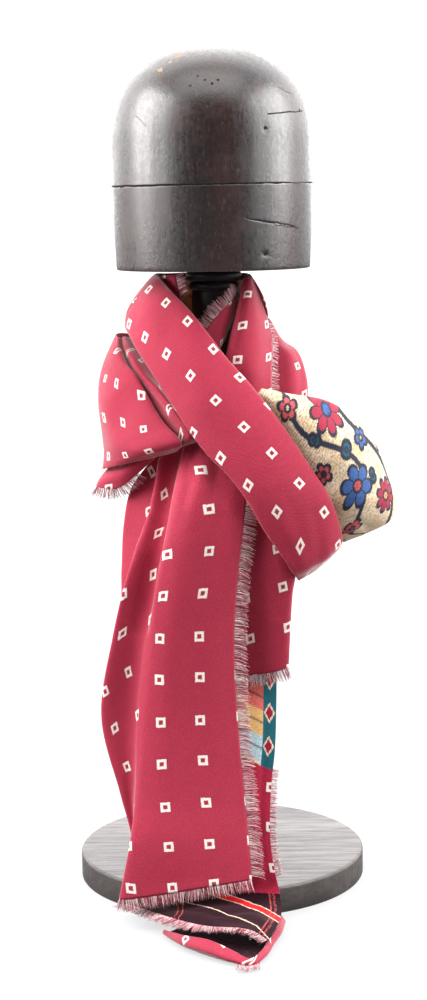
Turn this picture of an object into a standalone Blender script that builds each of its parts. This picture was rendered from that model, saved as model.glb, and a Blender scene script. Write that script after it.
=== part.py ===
"""Cravat: a two-faced fringed scarf knotted round the post of a wooden hat-block stand.

The frame stands with its origin at the centre of the base's underside, +Z up, the knot to
the front (-Y) and the scarf's loose wing to the right (+X). Lengths in the tables are in
millimetres. Each stretch of the scarf that shows is one wall of cloth: a smooth surface
through a short table of sections, given its thickness by a Solidify modifier. Fringes are
combs of tapered locks on a narrow strip parted from the cloth's edge.
"""
import math
import random
from collections import namedtuple

import bmesh
import bpy
from mathutils import Vector

MM = 0.001
SEAM = 0.3                       # gap between pieces that touch

# Hat block for a 57 cm head, on a turned post and a round base
BLOCK_RADIUS = 90.5
BLOCK_RIM_RADIUS = 87.5
BLOCK_BOTTOM = 565.0
BLOCK_JOINT = 640.0              # glue line between the block's two layers
BLOCK_SHOULDER = 681.0
BLOCK_TOP = 763.0
DOME_SQUARENESS = 2.3
JOINT_DEPTH = 0.7
BASE_RADIUS = 132.5
BASE_HEIGHT = 24.0
BASE_EDGE = 3.0
POST_RADIUS = 20.0
COLLAR_RADIUS = 25.5
BEAD_RADIUS = 22.5

# Cloth
WALL = 1.6
FRINGE = 11.0
LOCK_PITCH = 5.0
STRIP_WIDTH = 1.8
LOCK_THICKNESS = 1.2
LOCK_TIP = 0.42                  # width of a lock's tip as a share of its root

WOOD_BLOCK = ("hat_block_wood", (0.045, 0.022, 0.020), 0.32)
WOOD_BASE = ("base_wood", (0.075, 0.065, 0.062), 0.55)
CRIMSON = ("crimson_twill", (0.36, 0.035, 0.075), 0.75)
REVERSE = ("patchwork_reverse", (0.62, 0.50, 0.36), 0.85)
YARN = ("fringe_yarn", (0.52, 0.25, 0.30), 0.9)


def clear_scene():
    for item in list(bpy.data.objects):
        bpy.data.objects.remove(item, do_unlink=True)


def finish_material(finish):
    name, colour, roughness = finish
    material = bpy.data.materials.get(name)
    if material is None:
        material = bpy.data.materials.new(name)
        material.use_nodes = True
        shader = material.node_tree.nodes["Principled BSDF"]
        shader.inputs["Base Color"].default_value = (*colour, 1.0)
        shader.inputs["Roughness"].default_value = roughness
        shader.inputs["Metallic"].default_value = 0.0
        material.diffuse_color = (*colour, 1.0)
    return material


def add_part(name, mesh, finish, root, height=0.0):
    part = bpy.data.objects.new(name, mesh)
    mesh.materials.append(finish_material(finish))
    bpy.data.collections["cravat"].objects.link(part)
    part.parent = root
    part.location = (0.0, 0.0, height * MM)
    return part


# Turned wood

def arc(radius, height, edge, start, end, steps):
    """Points of a rounded corner of size edge, its centre edge inside radius and height."""
    centre_r, centre_z = radius - edge, height
    points = []
    for k in range(steps + 1):
        angle = math.radians(start + (end - start) * k / steps)
        points.append((centre_r + edge * math.cos(angle), centre_z + edge * math.sin(angle)))
    return points


def turned(name, profile, finish, root, height, sides):
    """A profile (radius, height), top to bottom down its outer side, spun round Z."""
    mesh = bpy.data.meshes.new(name)
    verts = [(r * MM, 0.0, z * MM) for r, z in profile]
    mesh.from_pydata(verts, [(k, k + 1) for k in range(len(verts) - 1)], [])
    part = add_part(name, mesh, finish, root, height)
    screw = part.modifiers.new("Turn", 'SCREW')
    screw.angle = math.tau
    screw.steps = screw.render_steps = sides
    screw.axis = 'Z'
    screw.use_merge_vertices = True
    screw.merge_threshold = 0.00001
    screw.use_smooth_shade = True
    return part


def make_base(root):
    top = arc(BASE_RADIUS, BASE_HEIGHT - BASE_EDGE, BASE_EDGE, 90, 0, 3)
    bottom = arc(BASE_RADIUS, 1.0, 1.0, 0, -90, 2)
    profile = [(0.0, BASE_HEIGHT)] + top + bottom + [(0.0, 0.0)]
    turned("base", profile, WOOD_BASE, root, 0.0, 48)


def make_post(root):
    """Plain post with a collar ring and a bead under the block; both ends stand free."""
    length = BLOCK_BOTTOM - BASE_HEIGHT - 2 * SEAM
    collar = arc(COLLAR_RADIUS, length - 6.0, 5.0, 90, -90, 6)
    bead = arc(BEAD_RADIUS, length - 15.0, 3.5, 90, -90, 4)
    profile = [(0.0, length), (COLLAR_RADIUS - 5.0, length)] + collar
    profile += [(BEAD_RADIUS - 3.5, length - 11.3)] + bead
    profile += [(POST_RADIUS, length - 21.0), (POST_RADIUS, 0.0), (0.0, 0.0)]
    turned("post", profile, WOOD_BLOCK, root, BASE_HEIGHT + SEAM, 20)


def make_hat_block(root):
    """Domed crown: a superellipse over straight, slightly tapering sides."""
    shoulder, top = BLOCK_SHOULDER - BLOCK_BOTTOM, BLOCK_TOP - BLOCK_BOTTOM
    joint = BLOCK_JOINT - BLOCK_BOTTOM
    dome_steps = 11
    profile = [(0.0, top)]
    for k in range(1, dome_steps + 1):
        angle = math.pi / 2 * k / dome_steps
        radius = BLOCK_RADIUS * math.sin(angle) ** (2 / DOME_SQUARENESS)
        rise = (top - shoulder) * math.cos(angle) ** (2 / DOME_SQUARENESS)
        profile.append((radius, shoulder + rise))
    profile += [(BLOCK_RADIUS, joint + 0.8), (BLOCK_RADIUS - JOINT_DEPTH, joint),
                (BLOCK_RADIUS, joint - 0.8), (BLOCK_RIM_RADIUS, 1.5),
                (BLOCK_RIM_RADIUS - 1.5, 0.0), (0.0, 0.0)]
    turned("hat_block", profile, WOOD_BLOCK, root, BLOCK_BOTTOM, 40)


# Cloth surfaces

def through(points, place):
    """A smooth curve through the points (centripetal Catmull-Rom), place from 0 to 1."""
    spans = len(points) - 1
    at = min(max(place, 0.0), 1.0) * spans
    k = min(int(at), spans - 1)
    t = at - k
    b, c = points[k], points[k + 1]
    a = points[k - 1] if k else b * 2 - c
    d = points[k + 2] if k + 2 <= spans else c * 2 - b
    ab, bc, cd = (math.sqrt(max((q - p).length, 1e-6)) for p, q in ((a, b), (b, c), (c, d)))
    leave = c - b + ((b - a) / ab - (c - a) / (ab + bc)) * bc
    arrive = c - b + ((d - c) / cd - (d - b) / (bc + cd)) * bc
    return (b * (2 * t ** 3 - 3 * t ** 2 + 1) + leave * (t ** 3 - 2 * t ** 2 + t)
            + c * (3 * t ** 2 - 2 * t ** 3) + arrive * (t ** 3 - t ** 2))


class Drape:
    """A cloth surface: across runs along each section, down runs from first to last.

    columns and rows are the cells that its wall is made of.
    """

    def __init__(self, sections, columns, rows):
        self.sections = [[Vector(point) for point in section] for section in sections]
        self.columns = columns
        self.rows = rows

    def at(self, across, down):
        return through([through(section, across) for section in self.sections], down)

    def frame(self, across, down):
        """Point, directions of growing across and growing down, and the normal."""
        step = 0.01
        here = self.at(across, down)
        over = self.at(min(across + step, 1), down) - self.at(max(across - step, 0), down)
        along = self.at(across, min(down + step, 1)) - self.at(across, max(down - step, 0))
        over.normalize()
        along.normalize()
        return here, over, along, over.cross(along).normalized()


def cloth(name, drape, finish, root, first=0.0, last=1.0, start_gap=0.0, end_gap=0.0):
    """One wall of cloth on the drape from first to last, its end rows drawn in by a gap."""
    bm = bmesh.new()
    rows = round(drape.rows * (last - first))
    bmesh.ops.create_grid(bm, x_segments=drape.columns, y_segments=rows, size=1.0)
    for vert in bm.verts:
        across, down = (vert.co.x + 1) / 2, (vert.co.y + 1) / 2
        here, _, along, _ = drape.frame(across, first + (last - first) * down)
        if down < 1e-4:
            here = here + along * start_gap
        if down > 1 - 1e-4:
            here = here - along * end_gap
        vert.co = here * MM
    mesh = bpy.data.meshes.new(name)
    bm.to_mesh(mesh)
    bm.free()
    part = add_part(name, mesh, finish, root)
    wall = part.modifiers.new("Wall", 'SOLIDIFY')
    wall.thickness = WALL * MM
    wall.offset = 0.0
    wall.use_even_offset = False
    return part


def edge_line(drape, side, start, end):
    """Points, outward directions and normals along one edge of a drape, a lock apart.

    The points lie on the edge of the drape's cells, and on each of their corners.
    """
    cells = drape.columns if side in ("hem", "top") else drape.rows
    corners = [k / cells for k in range(cells + 1) if start < k / cells < end]
    stops = [start] + corners + [end]
    line = []
    for one, two in zip(stops, stops[1:]):
        here, there = on_edge(drape, side, one, cells), on_edge(drape, side, two, cells)
        steps = max(1, round((there[0] - here[0]).length / LOCK_PITCH))
        for k in range(steps):
            line.append([a.lerp(b, k / steps) for a, b in zip(here, there)])
    line.append(on_edge(drape, side, end, cells))
    return line


def on_edge(drape, side, place, cells):
    """Point, outward direction and normal on the edge, straight between its corners."""
    low = min(int(place * cells + 1e-6), cells - 1)
    ends = []
    for k in (low, low + 1):
        across, down = {"hem": (k / cells, 1.0), "top": (k / cells, 0.0),
                        "left": (0.0, k / cells), "right": (1.0, k / cells)}[side]
        here, over, along, normal = drape.frame(across, down)
        outward = {"hem": along, "top": -along, "left": -over, "right": over}[side]
        ends.append((here, outward, normal))
    return [a.lerp(b, place * cells - low) for a, b in zip(*ends)]


def comb(name, line, root, seed, length=FRINGE, droop=0.0, floor=1.2):
    """Fringe: a strip parted from the cloth's edge, one tapered lock on each of its steps."""
    wobble = random.Random(seed)
    bm = bmesh.new()
    rings = []
    for k, (here, outward, normal) in enumerate(line):
        along = (line[min(k + 1, len(line) - 1)][0] - line[max(k - 1, 0)][0]).normalized()
        outward = (outward - along * outward.dot(along)).normalized()
        root_in = here + outward * SEAM
        root_out = root_in + outward * STRIP_WIDTH
        half = normal * LOCK_THICKNESS / 2
        ring = [root_in + half, root_out + half, root_out - half, root_in - half]
        rings.append([bm.verts.new(point * MM) for point in ring])
    outer = []
    for k in range(len(rings) - 1):
        one, two = rings[k], rings[k + 1]
        for side in range(4):
            nxt = (side + 1) % 4
            face = bm.faces.new((one[side], one[nxt], two[nxt], two[side]))
            if side == 1:
                outer.append((face, line[k], line[k + 1]))
    bm.faces.new(rings[0][::-1])
    bm.faces.new(rings[-1])
    for face, one, two in outer:
        outward = (one[1] + two[1]).normalized()
        along = (two[0] - one[0]).normalized()
        reach = length - STRIP_WIDTH + wobble.uniform(-1.2, 0.8)
        move = outward * reach + along * wobble.uniform(-0.5, 0.5)
        move += Vector((0, 0, -droop * wobble.uniform(0.8, 1.1)))
        lock = bmesh.ops.extrude_discrete_faces(bm, faces=[face])["faces"][0]
        centre = lock.calc_center_median()
        for vert in lock.verts:
            vert.co = centre + (vert.co - centre) * LOCK_TIP + move * MM
            vert.co.z = max(vert.co.z, floor * MM)
    bmesh.ops.recalc_face_normals(bm, faces=bm.faces)
    mesh = bpy.data.meshes.new(name)
    bm.to_mesh(mesh)
    bm.free()
    return add_part(name, mesh, YARN, root)


# The loop round the neck and the band that crosses over the front

BandSection = namedtuple("BandSection", "upper lower bulge turn")
# upper and lower edge (x, y, z); bulge: how far the face stands out between them;
# turn: how far the folded edges turn in (x, y, z)
LOOP = [
    BandSection((33, -2.7, 559), (48.5, -8.7, 521), 3, (-2, 0.5, 0)),
    BandSection((28, 16, 559.5), (40, 22, 519), 4, (-2.4, -1.6, 0)),
    BandSection((6, 26.5, 559), (8, 36, 517), 4, (0, -2.5, 0)),
    BandSection((-20, 29, 560), (-28, 38, 514), 5, (1.2, -3.6, 0)),
    BandSection((-43, 20, 560), (-60, 26, 512), 6, (3.5, -3, 0)),
    BandSection((-52, 5, 560.5), (-77, 6, 511), 8, (5, 0, 0)),
]
BAND = [
    BandSection((-49, -12, 558), (-80, -14, 513), 8, (4.5, 2, 0)),
    BandSection((-43, -26, 551), (-76, -29, 507), 8, (3, 4, 0)),
    BandSection((-35, -39, 543), (-69, -40, 495), 8, (1.5, 4.7, 0)),
    BandSection((-23, -50, 531), (-60, -50, 482), 8, (1, 4.9, 0)),
    BandSection((-9, -59, 514), (-46, -63, 461), 9, (0, 5, 0)),
    BandSection((10, -67, 489), (-27, -79, 432), 9, (0, 5, 0)),
    BandSection((32, -74, 464), (-8, -89, 407), 8, (0, 5, 0)),
    BandSection((58, -82, 430), (11, -96, 388), 8, (0, 5, 0)),
    BandSection((82, -86, 393), (25, -100, 369), 8, (0, 5, 0)),
    BandSection((97, -85, 369), (40, -100, 342), 7, (0, 5, 0)),
    BandSection((106, -80, 346), (54, -98, 321), 6, (-0.5, 4.5, 0.5)),
    BandSection((110, -72, 324), (66, -92, 301), 5, (-1, 4, 2.5)),
    BandSection((103, -60, 311), (71, -78, 292), 2, (-1.5, 1.5, 4.5)),
]
# The stretch that goes back behind the tails: upper edge, crown and lower edge
KnotSection = namedtuple("KnotSection", "upper crown lower")
KNOT_BACK = [
    KnotSection((102.6, -59.3, 310.2), (87.5, -68.6, 299), (71.3, -77.1, 291.4)),
    KnotSection((92, -42, 324), (80, -40, 312), (66, -50, 296)),
    KnotSection((68, -30, 356), (58, -27, 336), (50, -32, 312)),
    KnotSection((34, -26, 386), (28, -23.5, 362), (24, -27, 338)),
    KnotSection((0, -26, 408), (-2, -23, 384), (-4, -26, 358)),
    KnotSection((-36, -24, 424), (-36, -19, 400), (-36, -24, 374)),
    KnotSection((-66, -14, 434), (-66, -8, 412), (-64, -14, 390)),
]


def band_section(section):
    """Turned-in upper edge, upper edge, face, lower edge, turned-in lower edge."""
    upper, lower, turn = Vector(section.upper), Vector(section.lower), Vector(section.turn)
    down = (lower - upper).normalized()
    inward = turn.normalized()
    outward = -inward * section.bulge
    return [upper + down * 6 + turn, upper + inward * 0.5,
            upper.lerp(lower, 0.3) + outward * 0.85, upper.lerp(lower, 0.68) + outward,
            lower + inward * 0.5, lower - down * 6 + turn]


def make_band(root):
    whole = Drape([band_section(section) for section in LOOP + BAND], 10, 30)
    seam = len(LOOP) / (len(LOOP) + len(BAND) - 1)
    cloth("neck_wrap", whole, CRIMSON, root, 0.0, seam, end_gap=SEAM)
    cloth("cross_band", whole, CRIMSON, root, seam, 1.0, start_gap=SEAM)
    cloth("knot_back", Drape(KNOT_BACK, 4, 10), CRIMSON, root)


# The left drape with its long pleat, and its hem tucked under

DrapeSection = namedtuple("DrapeSection", "back side swell tuck valley pleat under")
LEFT_DRAPE = [
    DrapeSection((-76, 16, 506), (-86, -2, 508), (-89, -11, 507), (-87, -18, 505),
                 (-84, -14, 504), (-82, -16, 505), (-72, -6, 502)),
    DrapeSection((-82, 16, 492), (-94, -4, 493), (-94, -18, 495), (-87, -29, 497),
                 (-82, -23, 494), (-80, -28, 498), (-69, -17, 495)),
    DrapeSection((-88, 14, 466), (-103, -7, 467), (-99, -27, 473), (-81, -40, 484),
                 (-77, -32, 480), (-74, -38, 488), (-63, -27, 484)),
    DrapeSection((-90, 10, 440), (-106, -13, 441), (-97, -38, 451), (-72, -49, 474),
                 (-70, -41, 468), (-66, -48, 475), (-54, -36, 471)),
    DrapeSection((-90, 5, 418), (-104, -19, 418), (-90, -48, 430), (-62, -57, 457),
                 (-60, -49, 452), (-51, -60, 460), (-42, -47, 455)),
    DrapeSection((-88, 0, 404), (-102, -24, 404), (-84, -58, 412), (-49, -69, 434),
                 (-46, -60, 432), (-35.5, -73, 440), (-27, -60, 433)),
    DrapeSection((-88, -3, 394), (-102, -27, 395), (-76, -64, 405), (-32, -79, 416),
                 (-31, -69, 415), (-22.5, -78.3, 422.5), (-14, -68, 420)),
    DrapeSection((-89, -6, 388), (-103, -28, 387), (-78, -55, 396), (-36, -66, 407),
                 (-34, -60, 408), (-28, -64, 412), (-19, -60, 414)),
]
FlapSection = namedtuple("FlapSection", "back side front end")
HEM_FLAP = [
    FlapSection((-78, -6, 392), (-91.8, -19.8, 394), (-71, -45, 402), (-46, -54, 409)),
    FlapSection((-92, -10, 385), (-105, -26, 379), (-84, -46, 387), (-52, -53, 405)),
    FlapSection((-95, -14, 372), (-109, -26, 372), (-90, -41, 371), (-56, -50, 398)),
]


def make_left_drape(root):
    cloth("left_drape", Drape(LEFT_DRAPE, 12, 10), CRIMSON, root)
    flap = Drape(HEM_FLAP, 7, 3)
    cloth("left_hem_flap", flap, CRIMSON, root)
    comb("left_hem_fringe", edge_line(flap, "hem", 0.3, 0.857), root, 3, droop=2.0)


# The right side: an inner strip by the neck, the front fold and the shoulder behind it

StripSection = namedtuple("StripSection", "hidden fringed")
NECK_LEFT = [
    StripSection((-46.3, -8.5, 560), (-34, -19, 560.5)),
    StripSection((-44.8, -11.5, 550), (-32, -23, 549)),
    StripSection((-39, -19, 541), (-30, -27, 539)),
]
InnerSection = namedtuple("InnerSection", "low_end low_side high_side high_end")
INNER_STRIP = [
    InnerSection((-9, -38, 509), (1, -33, 523), (12, -28, 533), (22, -15, 544)),
    InnerSection((-6, -43, 497), (4, -37, 510), (13, -30, 521), (20, -18, 530)),
    InnerSection((0, -47, 483), (4, -41, 494), (9, -34, 503), (13, -25, 512)),
]
FrontFold = namedtuple("FrontFold", "inner crease middle edge")
RIGHT_DRAPE = [
    FrontFold((25, -9, 552), (28, -13, 556), (32, -13, 556.5), (34.5, -4, 557)),
    FrontFold((24, -18, 540), (26, -25, 541), (33, -24, 541), (40, -7, 541)),
    FrontFold((20, -30, 519), (20, -37, 519), (34, -37, 518), (48, -12, 519)),
    FrontFold((14, -39, 498), (14, -46, 498), (33, -46, 497), (52, -22, 497)),
    FrontFold((9, -44, 478), (8, -51, 478), (31, -52, 478), (51, -31, 478)),
    FrontFold((5, -43, 456), (4, -50, 456), (29, -50, 455), (50, -36, 455)),
    FrontFold((2, -40, 436), (2, -46, 436), (27, -46, 436), (48, -36, 436)),
]
Shoulder = namedtuple("Shoulder", "back_end back side front front_end")
RIGHT_SHOULDER = [
    Shoulder((30, 30, 517.7), (42, 23, 517.7), (50, 4, 518.5), (49, -5, 517.5), (44, -8, 516.5)),
    Shoulder((32, 34, 500), (52, 24, 499), (62, 4, 499), (58, -9, 498), (47, -13, 497)),
    Shoulder((33, 35, 486), (60, 24, 487), (75, 2, 489), (68, -14, 487), (49, -19, 485)),
    Shoulder((33, 34, 468), (62, 22, 469), (82, -3, 470), (72, -18, 469), (48, -24, 467)),
    Shoulder((31, 31, 450), (59, 18, 450), (84, -7, 450), (73, -23, 450), (47, -27, 449)),
    Shoulder((28, 27, 438), (54, 14, 438), (82, -9, 438), (70, -23, 438), (45, -27, 438)),
]


def make_neck_strips(root):
    left = Drape(NECK_LEFT, 3, 4)
    cloth("neck_left_strip", left, CRIMSON, root)
    comb("neck_left_fringe", edge_line(left, "right", 0.0, 1.0), root, 31)
    right = Drape(INNER_STRIP, 6, 3)
    cloth("neck_right_strip", right, CRIMSON, root)
    comb("neck_right_fringe", edge_line(right, "top", 0.0, 1.0), root, 5, length=12)


def make_right_side(root):
    fold = Drape(RIGHT_DRAPE, 8, 10)
    cloth("right_drape", fold, CRIMSON, root)
    comb("right_drape_fringe", edge_line(fold, "right", 0.36, 0.84), root, 7, length=9)
    cloth("right_shoulder", Drape(RIGHT_SHOULDER, 8, 8), CRIMSON, root)


# The wing of the knot that shows the patterned reverse

Rib = namedtuple("Rib", "inner face outer back back_inner")
WING = [
    Rib((32, -62, 450), (37, -68, 457), (41, -65, 461), (41, -60, 456), (35, -56, 448)),
    Rib((42, -66, 442), (55, -74, 451), (64, -63, 456), (63, -55, 451), (54, -52, 441)),
    Rib((54, -70, 425), (75, -79, 439), (94, -58, 449), (92, -44, 443), (78, -38, 430)),
    Rib((64, -73, 409), (94, -83, 423), (121, -54, 433), (116, -32, 425), (96, -24, 408)),
    Rib((74, -75, 394), (109, -85, 407), (141, -50, 410), (132, -24, 400), (104, -16, 386)),
    Rib((84, -76, 380), (118, -83, 387), (152, -47, 382), (141, -22, 374), (110, -15, 364)),
    Rib((91, -79.1, 366), (123, -80, 366), (159, -47, 358), (147, -26, 352), (114, -20, 346)),
    Rib((95, -72, 352), (125, -75, 349), (154, -49, 340), (143, -33, 335), (116, -29, 333)),
    Rib((99, -68, 338), (120, -70, 336), (136, -56, 331), (130, -45, 327), (114, -41, 325)),
    Rib((103, -64, 329), (108, -66, 328), (114, -62, 325), (114, -55, 322), (109, -50, 321)),
]


def make_wing(root):
    cloth("patterned_wing", Drape(WING, 10, 15), REVERSE, root)


# The front tail: a broad panel with a fringed edge, folded back twice on its left

TailSection = namedtuple("TailSection", "height edge_x ridge_x fold_x back_x front valley panel")
FRONT_TAIL = [
    TailSection(432, 32, -16, -36, -45, -55, 6, 7),
    TailSection(414, 31, -22, -42, -50, -60, 8, 11),
    TailSection(396, 29, -27, -50, -58, -72, 18, 24),
    TailSection(370, 26, -33, -56, -77, -89, 26, 38),
    TailSection(340, 22, -39, -65, -84, -97, 20, 30),
    TailSection(300, 17, -48, -80, -86, -101, 13, 17),
    TailSection(245, 13, -57, -94, -86, -105, 11, 15),
    TailSection(175, 15, -65, -105, -88, -114, 11, 15),
    TailSection(110, 20, -73, -89, -76, -130, 8, 13),
    TailSection(72, 23, -80, -79, -71, -144, 9, 15),
    TailSection(26, 25, -90, -76, -66, -155, 9, 17),
]
HEM_RISE = 15.0                  # the hem's fringed corner hangs higher than its left one


def tail_section(section):
    z, front = section.height, section.front
    rise = HEM_RISE if section is FRONT_TAIL[-1] else 0.0
    span = section.ridge_x - section.edge_x
    behind = front + section.panel
    fold_back = min(section.panel, 15)
    return [(section.edge_x, front + 5, z + rise),
            (section.edge_x + 0.33 * span, front, z + rise * 0.7),
            (section.edge_x + 0.72 * span, front - 2, z + rise * 0.3),
            (section.ridge_x, front + 3, z),
            (section.ridge_x + 0.25 * (section.fold_x - section.ridge_x), front + section.valley,
             z + rise * 0.2),
            (section.fold_x, behind, z + rise * 0.3),
            (section.fold_x + 5, behind + 0.5 * fold_back, z + rise * 0.4),
            (section.back_x, behind + 1.1 * fold_back, z + rise * 0.6),
            (section.back_x + 14, behind + 1.5 * fold_back, z + rise)]


def make_front_tail(root):
    tail = Drape([tail_section(section) for section in FRONT_TAIL], 16, 20)
    cloth("front_tail", tail, CRIMSON, root)
    side = edge_line(tail, "left", 0.24, 0.985)
    comb("front_side_fringe", side, root, 11, length=10, droop=3.0)
    comb("front_hem_fringe", edge_line(tail, "hem", 0.004, 0.375), root, 13)


# The two tails behind it

SideSection = namedtuple("SideSection", "hidden face bend edge turned")
SIDE_TAIL = [
    SideSection((-4, -62, 352), (24, -70, 350), (50, -78, 346), (62, -70, 342), (56, -62, 340)),
    SideSection((-3, -70, 318), (26, -80, 316), (55, -88.2, 312), (68.4, -82, 306), (58, -69, 308)),
    SideSection((-2, -74, 286), (26, -80, 284), (54, -87, 282), (65, -82, 280), (58, -72, 280)),
    SideSection((0, -75, 250), (26, -79, 250), (52, -86, 250), (63, -82, 250), (57, -72, 250)),
    SideSection((2, -75, 202), (26, -80, 206), (50, -86, 211), (61, -83, 214), (56, -74, 214)),
]
UnderSection = namedtuple("UnderSection", "right right_face left_face left")
UNDER_TAIL = [
    UnderSection((42, -44, 346), (28, -42, 348), (8, -41, 350), (-12, -42, 350)),
    UnderSection((46, -50, 300), (30, -50, 300), (8, -50, 300), (-18, -49, 300)),
    UnderSection((50, -58, 240), (32, -60, 240), (8, -61, 240), (-24, -58, 240)),
    UnderSection((51, -66, 205), (34, -68, 205), (8, -69, 205), (-27, -66, 205)),
    UnderSection((50, -80, 175), (33, -84, 175), (7, -85, 175), (-29, -80, 175)),
    UnderSection((48, -95, 142), (31, -99, 142), (5, -101, 142), (-31, -94, 142)),
    UnderSection((44, -106, 112), (28, -110, 112), (4, -112, 112), (-34, -105, 112)),
    UnderSection((42, -120, 72), (26, -124, 72), (2, -126, 72), (-37, -119, 72)),
    UnderSection((45, -128, 44), (28, -131, 44), (0, -134, 44), (-40, -128.5, 44)),
    UnderSection((49, -135, 27), (30, -134, 25), (-3, -133.7, 23.2), (-50, -128, 25)),
    UnderSection((50, -165, 15.5), (28, -166, 19), (-12, -166, 20), (-66, -136, 13)),
    UnderSection((46, -188, 14), (30, -189, 18), (-14, -184, 19), (-76, -131, 12)),
    UnderSection((37, -216, 11), (22, -210, 18), (-18, -195, 17), (-87, -122, 11)),
]
TipSection = namedtuple("TipSection", "back floor bottom swell lip")
TAIL_TIP = [
    TipSection((-30, -149, 2), (-38, -160, 1.9), (-48, -171, 2.0), (-53, -177, 4), (-51, -180, 8)),
    TipSection((-18, -149, 2), (-24, -176, 1.9), (-33, -202, 1.9), (-37, -207, 6), (-33, -205, 12)),
    TipSection((-7, -148, 2), (-8, -190, 1.9), (-14, -224, 1.9), (-16, -229, 7), (-12, -222, 14)),
    TipSection((4, -148, 2), (6, -198, 1.9), (6, -240, 1.9), (5, -244, 5), (7, -236, 10)),
    TipSection((14, -147, 2), (18, -200, 1.9), (20, -247, 1.9), (22, -250, 3.5), (21, -246, 7)),
    TipSection((21, -147, 2), (24, -192, 1.9), (31, -232, 1.9), (34, -234, 4), (31, -231, 8)),
    TipSection((27, -147, 2), (28, -180, 1.9), (39, -207, 1.9), (42, -208, 5), (38.5, -208, 9.3)),
    TipSection((31, -147, 2), (32, -168, 1.9), (45, -184, 1.9), (49.5, -184, 6), (46.5, -185, 12.2)),
    TipSection((35, -147, 2), (34, -156, 1.9), (48, -164, 1.9), (53, -164, 7), (50, -165, 13.6)),
]


def make_side_tail(root):
    side = Drape(SIDE_TAIL, 8, 7)
    cloth("side_tail", side, CRIMSON, root)
    comb("side_tail_fringe", edge_line(side, "hem", 0.2, 0.74), root, 17)


def corner_line(tip):
    """The tip's outermost corner, where its fringe lies out on the floor."""
    line = []
    for k in range(4):
        down = 0.42 + 0.05 * k
        floor, bottom, swell = (tip.at(column / 4, down) for column in (1, 2, 3))
        outward = (swell - floor) * Vector((1, 1, 0))
        outward.normalize()
        here = swell + outward * (WALL / 2 + SEAM)
        here.z = bottom.z + WALL / 2
        line.append((here, outward, Vector((0, 0, 1))))
    return line


def make_under_tail(root):
    under = Drape(UNDER_TAIL, 7, 20)
    cloth("under_tail", under, REVERSE, root)
    comb("under_side_fringe", edge_line(under, "left", 0.46, 0.7), root, 19, length=7)
    comb("under_hem_fringe", edge_line(under, "hem", 0.0, 1.0), root, 23, length=9)
    tip = Drape(TAIL_TIP, 8, 16)
    cloth("tail_tip", tip, CRIMSON, root)
    comb("tip_corner_fringe", corner_line(tip), root, 29, length=13, floor=1.0)


def build():
    clear_scene()
    collection = bpy.data.collections.new("cravat")
    bpy.context.scene.collection.children.link(collection)
    root = bpy.data.objects.new("cravat_root", None)
    collection.objects.link(root)
    make_base(root)
    make_post(root)
    make_hat_block(root)
    make_band(root)
    make_left_drape(root)
    make_neck_strips(root)
    make_right_side(root)
    make_wing(root)
    make_front_tail(root)
    make_side_tail(root)
    make_under_tail(root)


build()
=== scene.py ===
"""Cravat tied on a hat-block stand: the looks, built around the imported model.

Laid out as an add-on and run as a script. Each stretch of the scarf is a thin two-faced shell
on a smooth surface through a short table of sections, which repeats the construction's
tables, in millimetres. Pattern coordinates are millimetres of cloth turned to metres, so the
woven squares keep their size and follow every fold. Fringes are single frayed yarns.
"""
import math
from collections import namedtuple

import bmesh
import bpy
import numpy as np
from mathutils import Matrix, Vector


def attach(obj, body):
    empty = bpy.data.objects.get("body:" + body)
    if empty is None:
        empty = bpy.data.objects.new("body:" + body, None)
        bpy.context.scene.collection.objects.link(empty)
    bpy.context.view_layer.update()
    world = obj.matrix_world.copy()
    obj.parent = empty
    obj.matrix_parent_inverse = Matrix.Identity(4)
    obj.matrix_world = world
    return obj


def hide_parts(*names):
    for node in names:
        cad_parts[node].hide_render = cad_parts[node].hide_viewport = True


bl_info = {
    "name": "Cravat on a hat-block stand",
    "version": (1, 0, 0),
    "blender": (4, 5, 0),
    "location": "3D View > Sidebar > Cravat",
    "description": "Models the fringed scarf, its knot and the wooden stand over the packed frame",
    "category": "Object",
}

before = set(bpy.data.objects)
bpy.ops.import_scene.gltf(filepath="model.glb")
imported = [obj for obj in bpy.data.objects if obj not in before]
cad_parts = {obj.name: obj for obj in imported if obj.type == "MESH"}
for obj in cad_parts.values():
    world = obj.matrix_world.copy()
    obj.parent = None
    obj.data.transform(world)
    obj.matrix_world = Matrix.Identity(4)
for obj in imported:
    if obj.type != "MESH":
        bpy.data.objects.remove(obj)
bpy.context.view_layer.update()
MM = 0.001


# Settings that a user would change

def number(name, description, default, **more):
    return bpy.props.FloatProperty(name=name, description=description, default=default,
                                   min=0.0, **more)


def length(name, description, default):
    return number(name, description, default, unit='LENGTH', precision=5)


def colour(name, description, default):
    return bpy.props.FloatVectorProperty(name=name, description=description, default=default,
                                         subtype='COLOR', size=3, min=0.0, max=1.0)


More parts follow.
